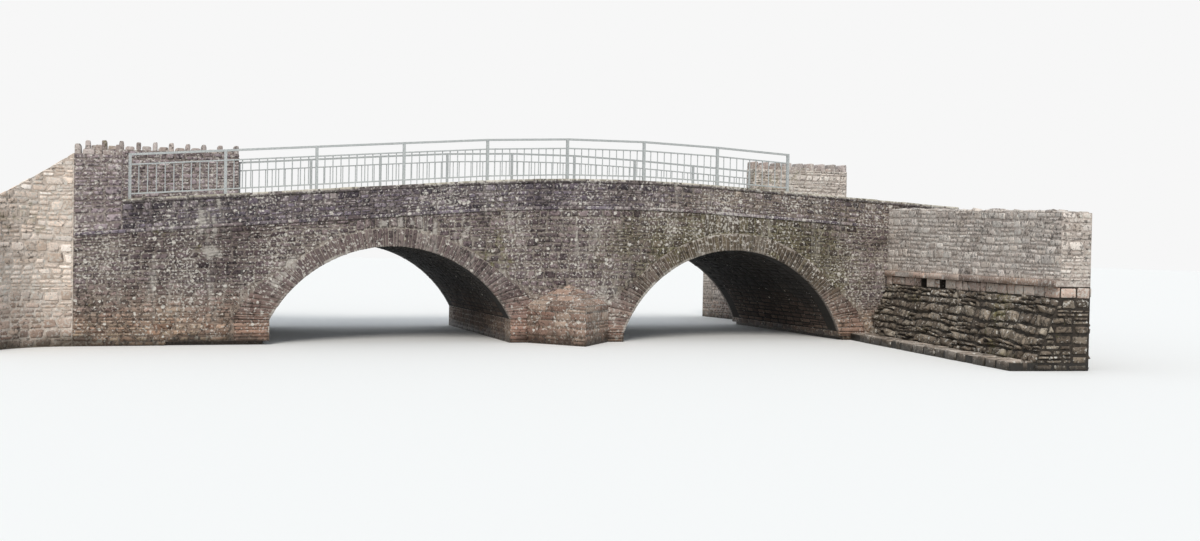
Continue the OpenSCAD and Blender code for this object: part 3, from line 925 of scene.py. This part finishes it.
STONE = {
    "face": masonry("face_rubble", FACE_TONES, tint=LOW_TONES, spread=0.34, pale=0.41,
                    green=0.28, dark=0.46, streaks=0.45, spills=True, painted_side_shade=0.2,
                    stains=FACE_SHADE_AND_GROWTH),
    "parapet": masonry("parapet_rubble", PARAPET_TONES, spread=0.34, pale=0.44, green=0.27,
                       dark=0.47, streaks=0.3, spills=True, painted_side_shade=0.2,
                       stains=PARAPET_LIGHTER_PATCH),
    "ring": masonry("arch_stones", RING_TONES, tint=QUOIN_TONES, pale=0.33, green=0.22,
                    dark=0.42, streaks=0.4, spread=0.16, edge=1.0, spills=True,
                    inner_stops=SHADED_SOFFIT_TONES, stains=FACE_SHADE_AND_GROWTH),
    "coping": masonry("coping_slabs", COPING_TONES, pale=0.5, green=0.36, damp=0.02,
                      shaded_side_stops=SHADED_COPING_SIDES),
    "cock": masonry("upright_stones", COCK_TONES, pale=0.42, green=0.32),
    "string": masonry("string_stones", STRING_TONES, pale=0.46, green=0.34, dark=0.4,
                      streaks=0.3),
    "ledge": masonry("ledge_stones", LEDGE_TONES, pale=0.44, green=0.32, painted_side_shade=0.0),
    "soffit": masonry("soffit_rubble_painted_shade", SHADED_SOFFIT_TONES, tint=JAMB_TONES, pale=0.12, green=0.20,
                      streaks=0.1),
    "jamb": masonry("jamb_rubble", JAMB_TONES, pale=0.3),
    "pier": masonry("pier_blocks", RED_TONES, pale=0.36, green=0.30, dark=0.38, streaks=0.3),
    "quoin": masonry("jamb_quoins", QUOIN_TONES, pale=0.34, green=0.26, dark=0.38,
                     inner_stops=JAMB_TONES),
    "wing": masonry("wing_rubble", WING_TONES, tint=RED_TONES, pale=0.44, green=0.33,
                    dark=0.43, streaks=0.2),
    "curved": masonry("round_wing_rubble_painted_sun", SUNLIT_CURVED_TONES, tint=RED_TONES, pale=0.46,
                      green=0.33, dark=0.26),
    "high": masonry("high_wall_rubble", HIGH_TONES, pale=0.44, green=0.3, dark=0.45),
    "drain": masonry("drain_blocks", LIT_BLOCK_TONES, pale=0.46, green=0.34, dark=0.36),
    "dry": masonry("dry_stones", DRY_TONES, pale=0.36, green=0.40, dark=0.44, painted_side_shade=0.3),
    "footing": masonry("footing_slabs", FOOT_TONES, pale=0.38, green=0.30, damp=0.16,
                       painted_side_shade=0.5),
}


def mortar(name, stops, pale=0.4, green=0.3, **more):
    return masonry(name, stops, pale=pale, green=green, joints=True, **more)


MORTAR = {
    "face": mortar("lime_mortar", "766b64 877c74 9a9087", tint="7b6759 917a69 a5907e", pale=0.42,
                   dark=0.42, streaks=0.6, spills=True, stains=FACE_SHADE_AND_GROWTH),
    "parapet": mortar("dark_mortar", "5f5655 706665 827876", pale=0.41, dark=0.42, streaks=0.3,
                      spills=True, stains=PARAPET_LIGHTER_PATCH),
    "ring": mortar("pale_mortar", "8b8078 9e938a b0a69b", green=0.2, edge=0.8,
                   inner_stops=SHADED_SOFFIT_TONES),
    # Mortar of the vaults: damp mortar darkened to near black as painted shade under the arches
    "soffit": mortar("soffit_mortar_painted_shade", "131110 1b1815 22201c", pale=0.12, green=0.2),
    "dry": mortar("dry_shadow", "28231e 362f28 463e35", pale=0.1, green=0.4),
    "wing": mortar("wing_mortar", "a99c94 bdb1a8 cfc4bb"),
    # Pale mortar of the curved wing walls, lightened further as painted sunlight
    "curved": mortar("round_wing_mortar_painted_sun", "c9b8a9 d9c9bb e6d9cd"),
    "high": mortar("high_mortar", "7d716b 8e827d a0958f", pale=0.42),
}


def road_surface():
    """Worn gravelly road: dark and pale chips, with brown dirt in broad patches."""
    made, shader, place = new_material("road_surface")
    distance, draw, _ = cells(place, 85.0)
    dirt = fade(noise(place, 1.4, 4.0), 0.45, 0.65)
    colour = ramp(draw, "4b4843 5d5953 6d6962 7d776d 8d887e")
    feed(shader["Base Color"], blend(dirt * 0.5, colour, tone("5d5344")))
    feed(shader["Roughness"], 0.92)
    emboss(shader, distance, 0.6, 0.004, invert=True)
    return made


def galvanised_steel():
    """Dull zinc: small patches of spangle, each a little paler or duller, and faint brown
    stains."""
    made, shader, place = new_material("galvanised_steel")
    draw = cells(place, 120.0)[1]
    stain = fade(noise(place, 7.0, 5.0, 0.7), 0.58, 0.72)
    colour = ramp(draw, "a3a8a9 b1b5b5 bdc1c0 c8cbca")
    feed(shader["Base Color"], blend(stain * 0.4, colour, tone("76706a")))
    feed(shader["Metallic"], 0.35)
    feed(shader["Roughness"], fade(draw, 0.0, 1.0, 0.42, 0.6))
    emboss(shader, noise(place, 400.0, 2.0), 0.15, 0.001)
    return made


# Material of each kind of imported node, by the start of its name
BEDS = {
    "pier": MORTAR["face"], "cutwater": MORTAR["face"], "abutment": MORTAR["face"],
    "vault": MORTAR["soffit"], "ring": MORTAR["ring"], "spandrel": MORTAR["face"],
    "rubble_fill": MORTAR["dry"], "road_deck": road_surface(), "string": STONE["string"],
    "parapet": MORTAR["parapet"], "coping": MORTAR["parapet"], "high_wall": MORTAR["high"],
    "high_wall_back_right": MORTAR["wing"], "cock_coping": MORTAR["parapet"],
    "wing_left": MORTAR["curved"], "wing_right": MORTAR["wing"], "wing_ledge": MORTAR["wing"],
    "drain_course": MORTAR["dry"], "revetment": MORTAR["dry"], "river_footing": MORTAR["dry"],
    "railing": galvanised_steel(),
}


def dress_beds():
    for name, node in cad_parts.items():
        kind = max((start for start in BEDS if name.startswith(start)), key=len)
        node.data.materials.clear()
        node.data.materials.append(BEDS[kind])


# Stones of each part
def split_along(quads, cuts):
    """Sorts stones into the stretches between cuts along u, by their middles."""
    middle = quads[..., 0].mean(1)
    edges = [-math.inf, *cuts, math.inf]
    return [quads[(middle >= a) & (middle < b)] for a, b in zip(edges[:-1], edges[1:])]


def crown_row(arch):
    """Upright stones over a crown, between the back of the ring and the string."""
    a, b = spaced(arch.cx - CROWN_HALF, arch.cx + CROWN_HALF, 0.105, 0.45, 0.004)
    back = arch.r + RING_T + 0.012
    return slabs(a, b, lambda x: arch.cz + np.sqrt(back ** 2 - (x - arch.cx) ** 2),
                 lambda x: string_low(x) - 0.006)


def face_wall(side):
    """Outer face of the bridge: long flat stones low down, small rubble above."""
    foot = open_joints(lay_row((*WHOLE, PLAIN_FOOT, FOOT), 0.17, 0.03), 0.008)
    if side == FRONT:
        middle = foot[..., 0].mean(1)
        foot = foot[(middle < LEFT_JAMB - SCOUR_RUN) | (middle > LEFT_JAMB)]
    flat = courses(WHOLE, FOOT, LOW_BAND, 0.085, 0.17, 0.010, split=0.45, lean=0.12)
    small = courses(WHOLE, LOW_BAND, string_low, 0.112, 0.125, 0.010, split=0.45, lean=0.22,
                    wave=0.02, uneven=0.16)
    at_string = small[..., 1].max(1) > string_low(small[..., 0].mean(1)) - 0.05
    crowns = np.concatenate([crown_row(arch) for arch in ARCHES])
    trims = (clear_arches, clear_crowns)
    layers = ((foot, trims[:1], FACE_RISE), (flat, trims[:1], FACE_RISE),
              (small[~at_string], trims, FACE_RISE), (small[at_string], trims, PROUD_RISE),
              (crowns, (), PROUD_RISE))
    cuts = (LEFT_ARCH.cx, RIGHT_ARCH.cx)
    for i, part in enumerate(("left", "mid", "right")):
        batches = [stones(split_along(quads, cuts)[i], long_face(side * HALF_W, side), rise,
                          trims=cut, swell=0.003, rough=0.11, inset=0.26)
                   for quads, cut, rise in layers]
        add_piece(f"spandrel_stones_{part}_{WORD[side]}", batches, STONE["face"])


def voussoirs(arch, side, name):
    """Thin wedge stones of one ring. They lie flat and reach far back at the springings,
    stand upright over the crown and run deep into the vault."""
    size = 0.06 / (arch.r + RING_T / 2)
    a, b = spaced(-arch.half, arch.half, size, 0.42, 0.009 / arch.r / 2)
    inner = arch.r - RNG.uniform(0.002, 0.008, len(a))
    outer = ring_back(arch, (a + b) / 2) + RNG.uniform(-0.035, 0.012, len(a))
    quads = quads_of((a, inner), (b, inner), (b + bed_turn(arch, b), outer),
                     (a + bed_turn(arch, a), outer))
    batch = stones(quads, ring_face(arch, side), (0.003, 0.012), sunk=RING_LEN * 0.98,
                   square=0.14, rough=0.03, inset=0.08, least=0.0)
    add_piece(name, [batch], STONE["ring"])


def quoins(arch, side):
    """Long flat stones beside both jambs, from the foot up to the springing."""
    rects = []
    for jamb, hand in ((arch.left, -1), (arch.right, 1)):
        foot = FOOT if jamb in (LEFT_JAMB, RIGHT_JAMB) else PLAIN_FOOT
        rows = steps(foot, arch.spring - 0.003, 0.056, 0.25)
        for i, (a, b) in enumerate(zip(rows[:-1], rows[1:])):
            whole = i % 3 != 1
            first = QUOIN * (0.97 if whole else RNG.uniform(0.45, 0.65))
            rects.append((*sorted((jamb - hand * 0.006, jamb + hand * first)), a, b))
            if not whole:
                rects.append((*sorted((jamb + hand * first, jamb + hand * QUOIN * 0.98)), a, b))
    quads = open_joints(slabs(*np.array(rects).T), 0.009)
    return stones(quads, long_face(side * HALF_W, side), (0.006, 0.016), sunk=0.3, square=0.16,
                  rough=0.05, inset=0.12)


def jamb_walls(arch):
    """Upright faces under the springings, through the bridge, on both sides of an arch."""
    batches = []
    for jamb, out in ((arch.left, 1), (arch.right, -1)):
        foot = FOOT if jamb in (LEFT_JAMB, RIGHT_JAMB) else PLAIN_FOOT
        batches.append(rubble(cross_face(jamb, out), (0.005, 0.010),
                              (-HALF_W + 0.3, HALF_W - 0.3), foot, arch.spring, 0.08, 0.22,
                              0.01, split=0.1))
    return batches


def soffit(arch, name):
    """Rubble of one vault, laid in thin courses that run through the bridge."""
    reach = arch.half * arch.r - 0.01
    inner = HALF_W - (RING_LEN - (RING_Y - HALF_W))
    batch = rubble(barrel(arch), (0.006, 0.014), (-inner, inner), -reach, reach, 0.095, 0.24,
                   0.012, split=0.15, swell=0.003)
    add_piece(name, [batch], STONE["soffit"])


def both_faces(side):
    """Outer and inner face of a parapet or an approach wall."""
    return long_face(side * HALF_W, side), long_face(side * (HALF_W - PARAPET_T), -side)


def parapet_stones(side):
    """Small rubble on both faces of a parapet, between the string and the coping."""
    node = "parapet_" + WORD[side]
    batches = [rubble(place, (0.003, 0.012), (low(node).x, high(node).x), string_top, coping_low,
                      0.10, 0.115, 0.009, split=0.35, lean=0.22, wave=0.008, uneven=0.16,
                      swell=0.003, rough=0.11, inset=0.26)
               for place in both_faces(side)]
    add_piece("parapet_stones_" + WORD[side], batches, STONE["parapet"])


def coping_slabs(side):
    """Slabs along a parapet's top, seen from above, each a little proud all round."""
    node = "coping_" + WORD[side]
    a, b = spaced(low(node).x, high(node).x, 0.42, 0.4, 0.004)
    middle, reach = side * (HALF_W - PARAPET_T / 2), PARAPET_T / 2 + 0.015
    near = middle - reach - RNG.uniform(0.002, 0.012, len(a))
    far = middle + reach + RNG.uniform(0.002, 0.012, len(a))
    batch = stones(slabs(a, b, near, far), lambda u, v, w: np.stack([u, v, coping_top(u) + w], -1),
                   (0.004, 0.009), sunk=COPING_T + 0.004, count=12, square=0.1, rough=0.012,
                   inset=0.05, tilt=0.3, rim=0.9)
    add_piece("coping_slabs_" + WORD[side], [batch], STONE["coping"])


def string_stones(side):
    """Flat through-stones of the string, proud over the arches and flush beyond them."""
    a, b = spaced(*WHOLE, 0.38, 0.45, 0.004)
    quads = slabs(a, b, string_low, string_top)
    proud = (a > STRING_PROUD[0]) & (b < STRING_PROUD[1])
    batches = [stones(quads[chosen], long_face(side * (HALF_W + out), side), rise, sunk=sunk,
                      square=0.12, rough=0.03, inset=0.06)
               for chosen, out, rise, sunk in ((proud, STRING_OUT, (0.001, 0.005), 0.045),
                                               (~proud, 0.0, (0.010, 0.018), 0.01))]
    add_piece("string_stones_" + WORD[side], batches, STONE["string"])


def cutwater_blocks(side):
    """Squared blocks on the two upright faces of a cutwater and flags on its sloping cap."""
    node = "cutwater_" + WORD[side]
    points = corners(node)
    heights = np.unique(points[:, 2].round(3))
    half, tip = high(node).x, np.abs(points[:, 1]).max()
    upright, peak = float(heights[1]), float(heights[-1])
    batches = []
    for hand in (-1, 1):
        start = np.array([hand * half, side * HALF_W, 0.0])
        end = np.array([0.0, side * tip, 0.0])
        length = float(np.linalg.norm(end - start))
        along = (end - start) / length
        out = (hand * abs(along[1]), side * abs(along[0]), 0.0)
        batches.append(rubble(plane(start, along, UP, out), (0.005, 0.011),
                              (0.0, length + 0.004), 0.012, upright, 0.115, 0.25, 0.010,
                              split=0.12, square=0.14, rough=0.03, inset=0.12))
        base = start + UP * upright
        to_peak = np.array([0.0, side * HALF_W, peak]) - base
        across = float(np.dot(to_peak, along))
        climb = to_peak - across * along
        rise = float(np.linalg.norm(climb))
        climb = climb / rise
        place = slope_plane(base, along, climb)
        if np.cross(along, climb)[2] < 0:
            place = slope_plane(base + along * length, -along, climb)
            across = length - across
        left = lambda v, a=across, r=rise: a * v / r + 0.006
        right = lambda v, a=across, r=rise, n=length: n + (a - n) * v / r - 0.004
        batches.append(rubble(place, (0.004, 0.010), (0.0, length), 0.0, rise, 0.16, 0.3, 0.012,
                              split=0.0, square=0.14, rough=0.03, inset=0.1,
                              trims=(cut_at(0, left, np.maximum), cut_at(0, right, np.minimum))))
    add_piece("cutwater_blocks_" + WORD[side], batches, STONE["pier"])


def at_end(x):
    """True at the cut ends of the bridge."""
    return min(abs(x - LEFT_END), abs(x - RIGHT_END)) < 0.01


def wall_end(x, out, side, base, top):
    """Rubble on the end of a parapet or of an approach wall."""
    return rubble(cross_face(x, out, side * (HALF_W - PARAPET_T), side), (0.005, 0.012),
                  (0.0, PARAPET_T), base, top, 0.11, 0.12, 0.012, split=0.4)


def high_wall_stones(node, side):
    """Both faces and both ends of a taller approach wall."""
    x0, x1, top = low(node).x, high(node).x, high(node).z
    batches = [rubble(place, (0.005, 0.014), (x0, x1), string_top, top, 0.115, 0.14, 0.011,
                      split=0.6, lean=0.16, wave=0.015, rough=0.1) for place in both_faces(side)]
    for x, out in ((x0, -1), (x1, 1)):
        base = string_top(x) if at_end(x) else coping_top(x)
        batches.append(wall_end(x, out, side, float(base), top))
    kind = STONE["wing"] if node == "high_wall_back_right" else STONE["high"]
    add_piece(node.replace("wall", "wall_stones"), batches, kind)


def upright_coping(node, side):
    """Coping of rough stones on edge, tall and short in turn, in place of the plain row."""
    x0, x1, base, top = low(node).x, high(node).x, low(node).z, high(node).z
    pairs = math.floor((x1 - x0 - COCK_W) / COCK_PITCH)
    pitch = (x1 - x0 - COCK_W) / pairs
    tall = x0 + COCK_W / 2 + pitch * np.arange(pairs + 1)
    short = tall[:-1] + pitch / 2
    middle = np.concatenate([tall, short])
    half = np.concatenate([COCK_W / 2 * RNG.uniform(0.85, 1.0, len(tall)),
                           (pitch - COCK_W) / 2 * RNG.uniform(0.86, 0.96, len(short))])
    height = np.concatenate([(top - base) * RNG.uniform(0.86, 0.98, len(tall)),
                             HEN_H * RNG.uniform(0.75, 1.1, len(short))])
    bedded, edge = base - 0.05, 0.002
    a, b = np.maximum(middle - half, x0 + edge), np.minimum(middle + half, x1 - edge)
    lean = RNG.uniform(-0.008, 0.008, len(a))
    lean[0] = abs(lean[0])
    quads = quads_of((a, bedded), (b, bedded), (b + lean, base + height), (a + lean, base + height))
    drawn_in = 0.018
    batch = stones(quads, long_face(side * (HALF_W - drawn_in), side), (0.006, 0.016),
                   sunk=PARAPET_T - 2 * drawn_in, count=16, square=0.42, rough=0.04, inset=0.2,
                   both=True)
    piece = add_piece(node.replace("cock_coping", "upright_stones"), [batch], STONE["cock"])
    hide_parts(node)


def curved_wing(side):
    """Both sides, the raking top and the end of a curved wing wall."""
    start = high("wing_left_" + WORD[side]).z
    fall = (start - WING_LOW_Z) / (WING_R + WING_T)
    top = lambda x: start - fall * (LEFT_END - x)
    batches = []
    for radius, out in ((WING_R, -1), (WING_R + WING_T, 1)):
        line = lambda u, r=radius: top(LEFT_END - r * np.sin(u / r)) - 0.004
        batches.append(rubble(wing_round(side, radius, out), (0.003, 0.010),
                              (0.0, radius * WING_TURN), 0.0, float(top(LEFT_END)), 0.125, 0.14,
                              0.012, split=0.6, lean=0.16, wave=0.03, rough=0.12,
                              trims=(cut_at(1, line, np.minimum),)))
    quads = courses((0.0, WING_TURN), WING_R + 0.004, WING_R + WING_T - 0.004, 0.15, 0.13, 0.0,
                    split=0.0)
    middle = quads.mean(1, keepdims=True)
    quads = middle + (quads - middle) * 0.93
    batches.append(stones(quads, wing_above(side, top), (0.010, 0.035), least=0.0))
    foot = np.array([*wing_point(side, WING_TURN, WING_R), 0])
    sine, cosine = math.sin(WING_TURN), math.cos(WING_TURN)
    line = lambda u: top(foot[0] - u * sine) - 0.004
    place = plane(foot, (-sine, -side * cosine, 0), UP, (-cosine, side * sine, 0))
    batches.append(rubble(place, (0.006, 0.014), (0.0, WING_T), 0.0, float(top(foot[0])), 0.12,
                          0.15, 0.012, split=0.3, trims=(cut_at(1, line, np.minimum),)))
    add_piece("wing_stones_left_" + WORD[side], batches, STONE["curved"])


def straight_wing(side):
    """Front, back, far end and top of a straight wing wall."""
    origin, along, into = straight_axes(side)
    length = STRAIGHT_LEN[side]
    base = LEDGE_TOP if side == FRONT else 0.0
    top = lambda u: STRAIGHT_TOP + (STRAIGHT_END_TOP - STRAIGHT_TOP) * u / length
    near, back, far_end = straight_faces(side)
    batches = [rubble(place, (0.003, 0.010), (start, length), base, top, 0.12, 0.18, 0.010,
                      split=0.45, lean=0.2, wave=0.02, uneven=0.14, swell=0.002)
               for start, place in ((0.01, near), (0.0, back))]
    batches.append(rubble(far_end, (0.006, 0.014), (0.0, STRAIGHT_T), base, STRAIGHT_END_TOP,
                          0.12, 0.13, 0.011, split=0.6, lean=0.14, wave=0.02))
    fall = math.atan2(STRAIGHT_TOP - STRAIGHT_END_TOP, length)
    climb = along * math.cos(fall) - UP * math.sin(fall)
    corner = origin + UP * STRAIGHT_TOP
    place = (slope_plane(corner, climb, into) if side == FRONT
             else slope_plane(corner + into * STRAIGHT_T, climb, -into))
    batches.append(rubble(place, (0.010, 0.045), (0.0, length), 0.01, STRAIGHT_T - 0.01, 0.16,
                          0.22, 0.014, split=0.0, rough=0.1))
    add_piece("wing_stones_right_" + WORD[side], batches, STONE["wing"])


def drain_blocks():
    """Squared blocks beside the drain openings, on both faces and the end of the course."""
    near, back, far_end = straight_faces(FRONT)
    squared = dict(square=0.14, rough=0.04, inset=0.1)
    edges = (0.0, *DRAINS, STRAIGHT_LEN[FRONT])
    batches = []
    for place in (near, back):
        rows = [lay_row((*edges[i:i + 2], REVET_H, LEDGE_Z), 0.27, 0.04) for i in (0, 2, 4)]
        quads = open_joints(np.concatenate(rows), 0.006)
        batches.append(stones(quads, place, (0.008, 0.022), **squared))
    quads = open_joints(lay_row((0.0, STRAIGHT_T, REVET_H, LEDGE_Z), 0.24, 0.02), 0.010)
    batches.append(stones(quads, far_end, (0.008, 0.018), **squared))
    add_piece("drain_blocks", batches, STONE["drain"])


def ledge_slabs():
    """Long flat stones over the drains, seen from above, with broken front edges."""
    origin, along, into = straight_axes(FRONT)
    a, b = spaced(0.0, STRAIGHT_LEN[FRONT], 0.55, 0.4, 0.005)
    near = -LEDGE_OUT - RNG.uniform(0.0, 0.03, len(a))
    batch = stones(slabs(a, b, near, 0.08), plane(origin + UP * LEDGE_TOP, along, into, UP),
                   (0.004, 0.012), sunk=LEDGE_TOP - LEDGE_Z + 0.006, count=12, square=0.12,
                   rough=0.03, inset=0.06)
    add_piece("ledge_slabs", [batch], STONE["ledge"])


def revetment_stones():
    """Rough dry-laid stones on the sloping revetment, on its far end and on its back."""
    origin, along, into = straight_axes(FRONT)
    _, back, far_end = straight_faces(FRONT)
    length = STRAIGHT_LEN[FRONT]
    height = math.hypot(REVET_H, REVET_OUT)
    climb = (into * REVET_OUT + UP * REVET_H) / height
    batter = slope_plane(origin - into * REVET_OUT, along, climb)
    slope = lambda v: -REVET_OUT + REVET_OUT * v / REVET_H + 0.01
    batches = [
        rubble(batter, (0.015, 0.075), (0.06, length), TOE_H * 0.9, height, 0.135, 0.135, 0.006,
               split=0.22, lean=0.3, wave=0.06, uneven=0.16, count=12, square=0.36, rough=0.08,
               tilt=0.8, sunk=0.03),
        rubble(far_end, (0.012, 0.04), (-REVET_OUT, STRAIGHT_T), 0.0, REVET_H, 0.12, 0.18, 0.016,
               split=0.4, trims=(cut_at(0, slope, np.maximum),), rough=0.12),
        rubble(back, (0.010, 0.04), (0.0, length), 0.0, REVET_H, 0.13, 0.2, 0.016, split=0.4,
               rough=0.12)]
    add_piece("revetment_stones", batches, STONE["dry"])


def footing_slabs():
    """Flat worn stones along the foot, in two uneven rows."""
    origin, along, into = straight_axes(FRONT)
    place = plane(origin + UP * TOE_H, along, into, UP)
    batches = []
    for near, far, size in ((-REVET_OUT - TOE_W, -REVET_OUT - 0.13, 0.34),
                            (-REVET_OUT - 0.14, -REVET_OUT + 0.03, 0.28)):
        a, b = spaced(0.09, STRAIGHT_LEN[FRONT], size, 0.4, 0.008)
        b[-1] = STRAIGHT_LEN[FRONT] + 0.006
        quads = slabs(a, b, near - RNG.uniform(0.006, 0.026, len(a)), far)
        batches.append(stones(quads, place, (0.004, 0.026), sunk=TOE_H - 0.002, count=12,
                              square=0.2, rough=0.06, inset=0.1, tilt=0.5))
    add_piece("footing_slabs", batches, STONE["footing"])


def end_walls():
    """Cut ends of the bridge where the road runs on: rubble up to the string."""
    batches = []
    for x, out, reach in ((LEFT_END, -1, HALF_W - WING_T), (RIGHT_END, 1, HALF_W)):
        batches.append(rubble(cross_face(x, out), (0.005, 0.012), (-reach, reach), 0.0,
                              float(string_low(x)), 0.12, 0.16, 0.012))
    for side in (FRONT, BACK):
        node = "parapet_" + WORD[side]
        for x, out in ((low(node).x, -1), (high(node).x, 1)):
            if at_end(x):
                batches.append(wall_end(x, out, side, float(string_low(x)), float(coping_low(x))))
    add_piece("end_stones", batches, STONE["face"])


def build_stones():
    for side in (FRONT, BACK):
        face_wall(side)
        voussoirs(LEFT_ARCH, side, "arch_stones_left_" + WORD[side])
        voussoirs(RIGHT_ARCH, side, "arch_stones_right_" + WORD[side])
        parapet_stones(side)
        coping_slabs(side)
        string_stones(side)
        cutwater_blocks(side)
        curved_wing(side)
        straight_wing(side)
        add_piece("quoins_" + WORD[side], [quoins(arch, side) for arch in ARCHES],
                  STONE["quoin"])
    soffit(LEFT_ARCH, "vault_stones_left")
    soffit(RIGHT_ARCH, "vault_stones_right")
    add_piece("jamb_stones", jamb_walls(LEFT_ARCH) + jamb_walls(RIGHT_ARCH), STONE["jamb"])
    ends = (("front", FRONT), ("back_left", BACK), ("back_right", BACK))
    for word, side in ends:
        high_wall_stones("high_wall_" + word, side)
    for word, side in ends:
        upright_coping("cock_coping_" + word, side)
    drain_blocks()
    ledge_slabs()
    revetment_stones()
    footing_slabs()
    end_walls()


# Camera, light and floor
CAMERA_AT = (-6.607, -22.15, 1.612)
CAMERA_YAW = math.radians(19.66)
CAMERA_PITCH = math.radians(-1.19)
CAMERA_ROLL = math.radians(1.07)
CAMERA_LENS = 39.0
CAMERA_SENSOR = 36.0


def show(name, data):
    """Puts an object with this data into the scene."""
    made = bpy.data.objects.new(name, data)
    bpy.context.scene.collection.objects.link(made)
    return made


def place_camera():
    """Camera before the front face: turned by the yaw, tipped down and rolled a little."""
    forward = Vector((math.sin(CAMERA_YAW) * math.cos(CAMERA_PITCH),
                      math.cos(CAMERA_YAW) * math.cos(CAMERA_PITCH), math.sin(CAMERA_PITCH)))
    right = Vector((math.cos(CAMERA_YAW), -math.sin(CAMERA_YAW), 0))
    up = right.cross(forward)
    across = right * math.cos(CAMERA_ROLL) + up * math.sin(CAMERA_ROLL)
    upward = up * math.cos(CAMERA_ROLL) - right * math.sin(CAMERA_ROLL)
    data = bpy.data.cameras.new("camera")
    data.lens, data.sensor_width, data.sensor_fit = CAMERA_LENS, CAMERA_SENSOR, "HORIZONTAL"
    data.clip_end = 300
    camera = show("camera", data)
    turn = Matrix((across, upward, -forward)).transposed().to_4x4()
    camera.matrix_world = Matrix.Translation(CAMERA_AT) @ turn
    bpy.context.scene.camera = camera


def seen_directly(tree):
    """1 for rays that the camera sees straight, in gloss or through glass."""
    path = put(tree, "ShaderNodeLightPath")
    both = calc("MAXIMUM", path["Is Camera Ray"], path["Is Glossy Ray"])
    return calc("MAXIMUM", both, path["Is Transmission Ray"])


def set_stage():
    """Pale floor and background, even light from all round and one broad soft sun."""
    bpy.context.scene.view_settings.view_transform = "Standard"
    world = bpy.data.worlds.new("studio")
    bpy.context.scene.world = world
    world.use_nodes = True
    tree = world.node_tree
    tree.nodes.clear()
    light = put(tree, "ShaderNodeBackground", {"Color": (0.86, 0.93, 1.0, 1), "Strength": 0.72})
    shown = put(tree, "ShaderNodeBackground", {"Color": (0.93, 0.93, 0.93, 1), "Strength": 1.0})
    mix = put(tree, "ShaderNodeMixShader", {0: seen_directly(tree), 1: light[0], 2: shown[0]})
    put(tree, "ShaderNodeOutputWorld", {"Surface": mix[0]})
    sun = bpy.data.lights.new("soft_sun", "SUN")
    sun.energy, sun.angle, sun.color = 1.9, math.radians(24), (1.0, 0.96, 0.9)
    show("soft_sun", sun).rotation_euler = (math.radians(52), 0, math.radians(-28))
    material, shader, place = new_material("pale_floor")
    feed(shader["Base Color"], blend(seen_directly(place.tree), (0.30, 0.29, 0.27, 1),
                                     (0.93, 0.92, 0.90, 1)))
    feed(shader["Roughness"], 0.9)
    far = 90.0
    mesh = bpy.data.meshes.new("floor")
    mesh.from_pydata([(-far, -far, 0), (far, -far, 0), (far, far, 0), (-far, far, 0)], [],
                     [(0, 1, 2, 3)])
    mesh.materials.append(material)
    show("floor", mesh)


place_camera()
set_stage()
dress_beds()
build_stones()
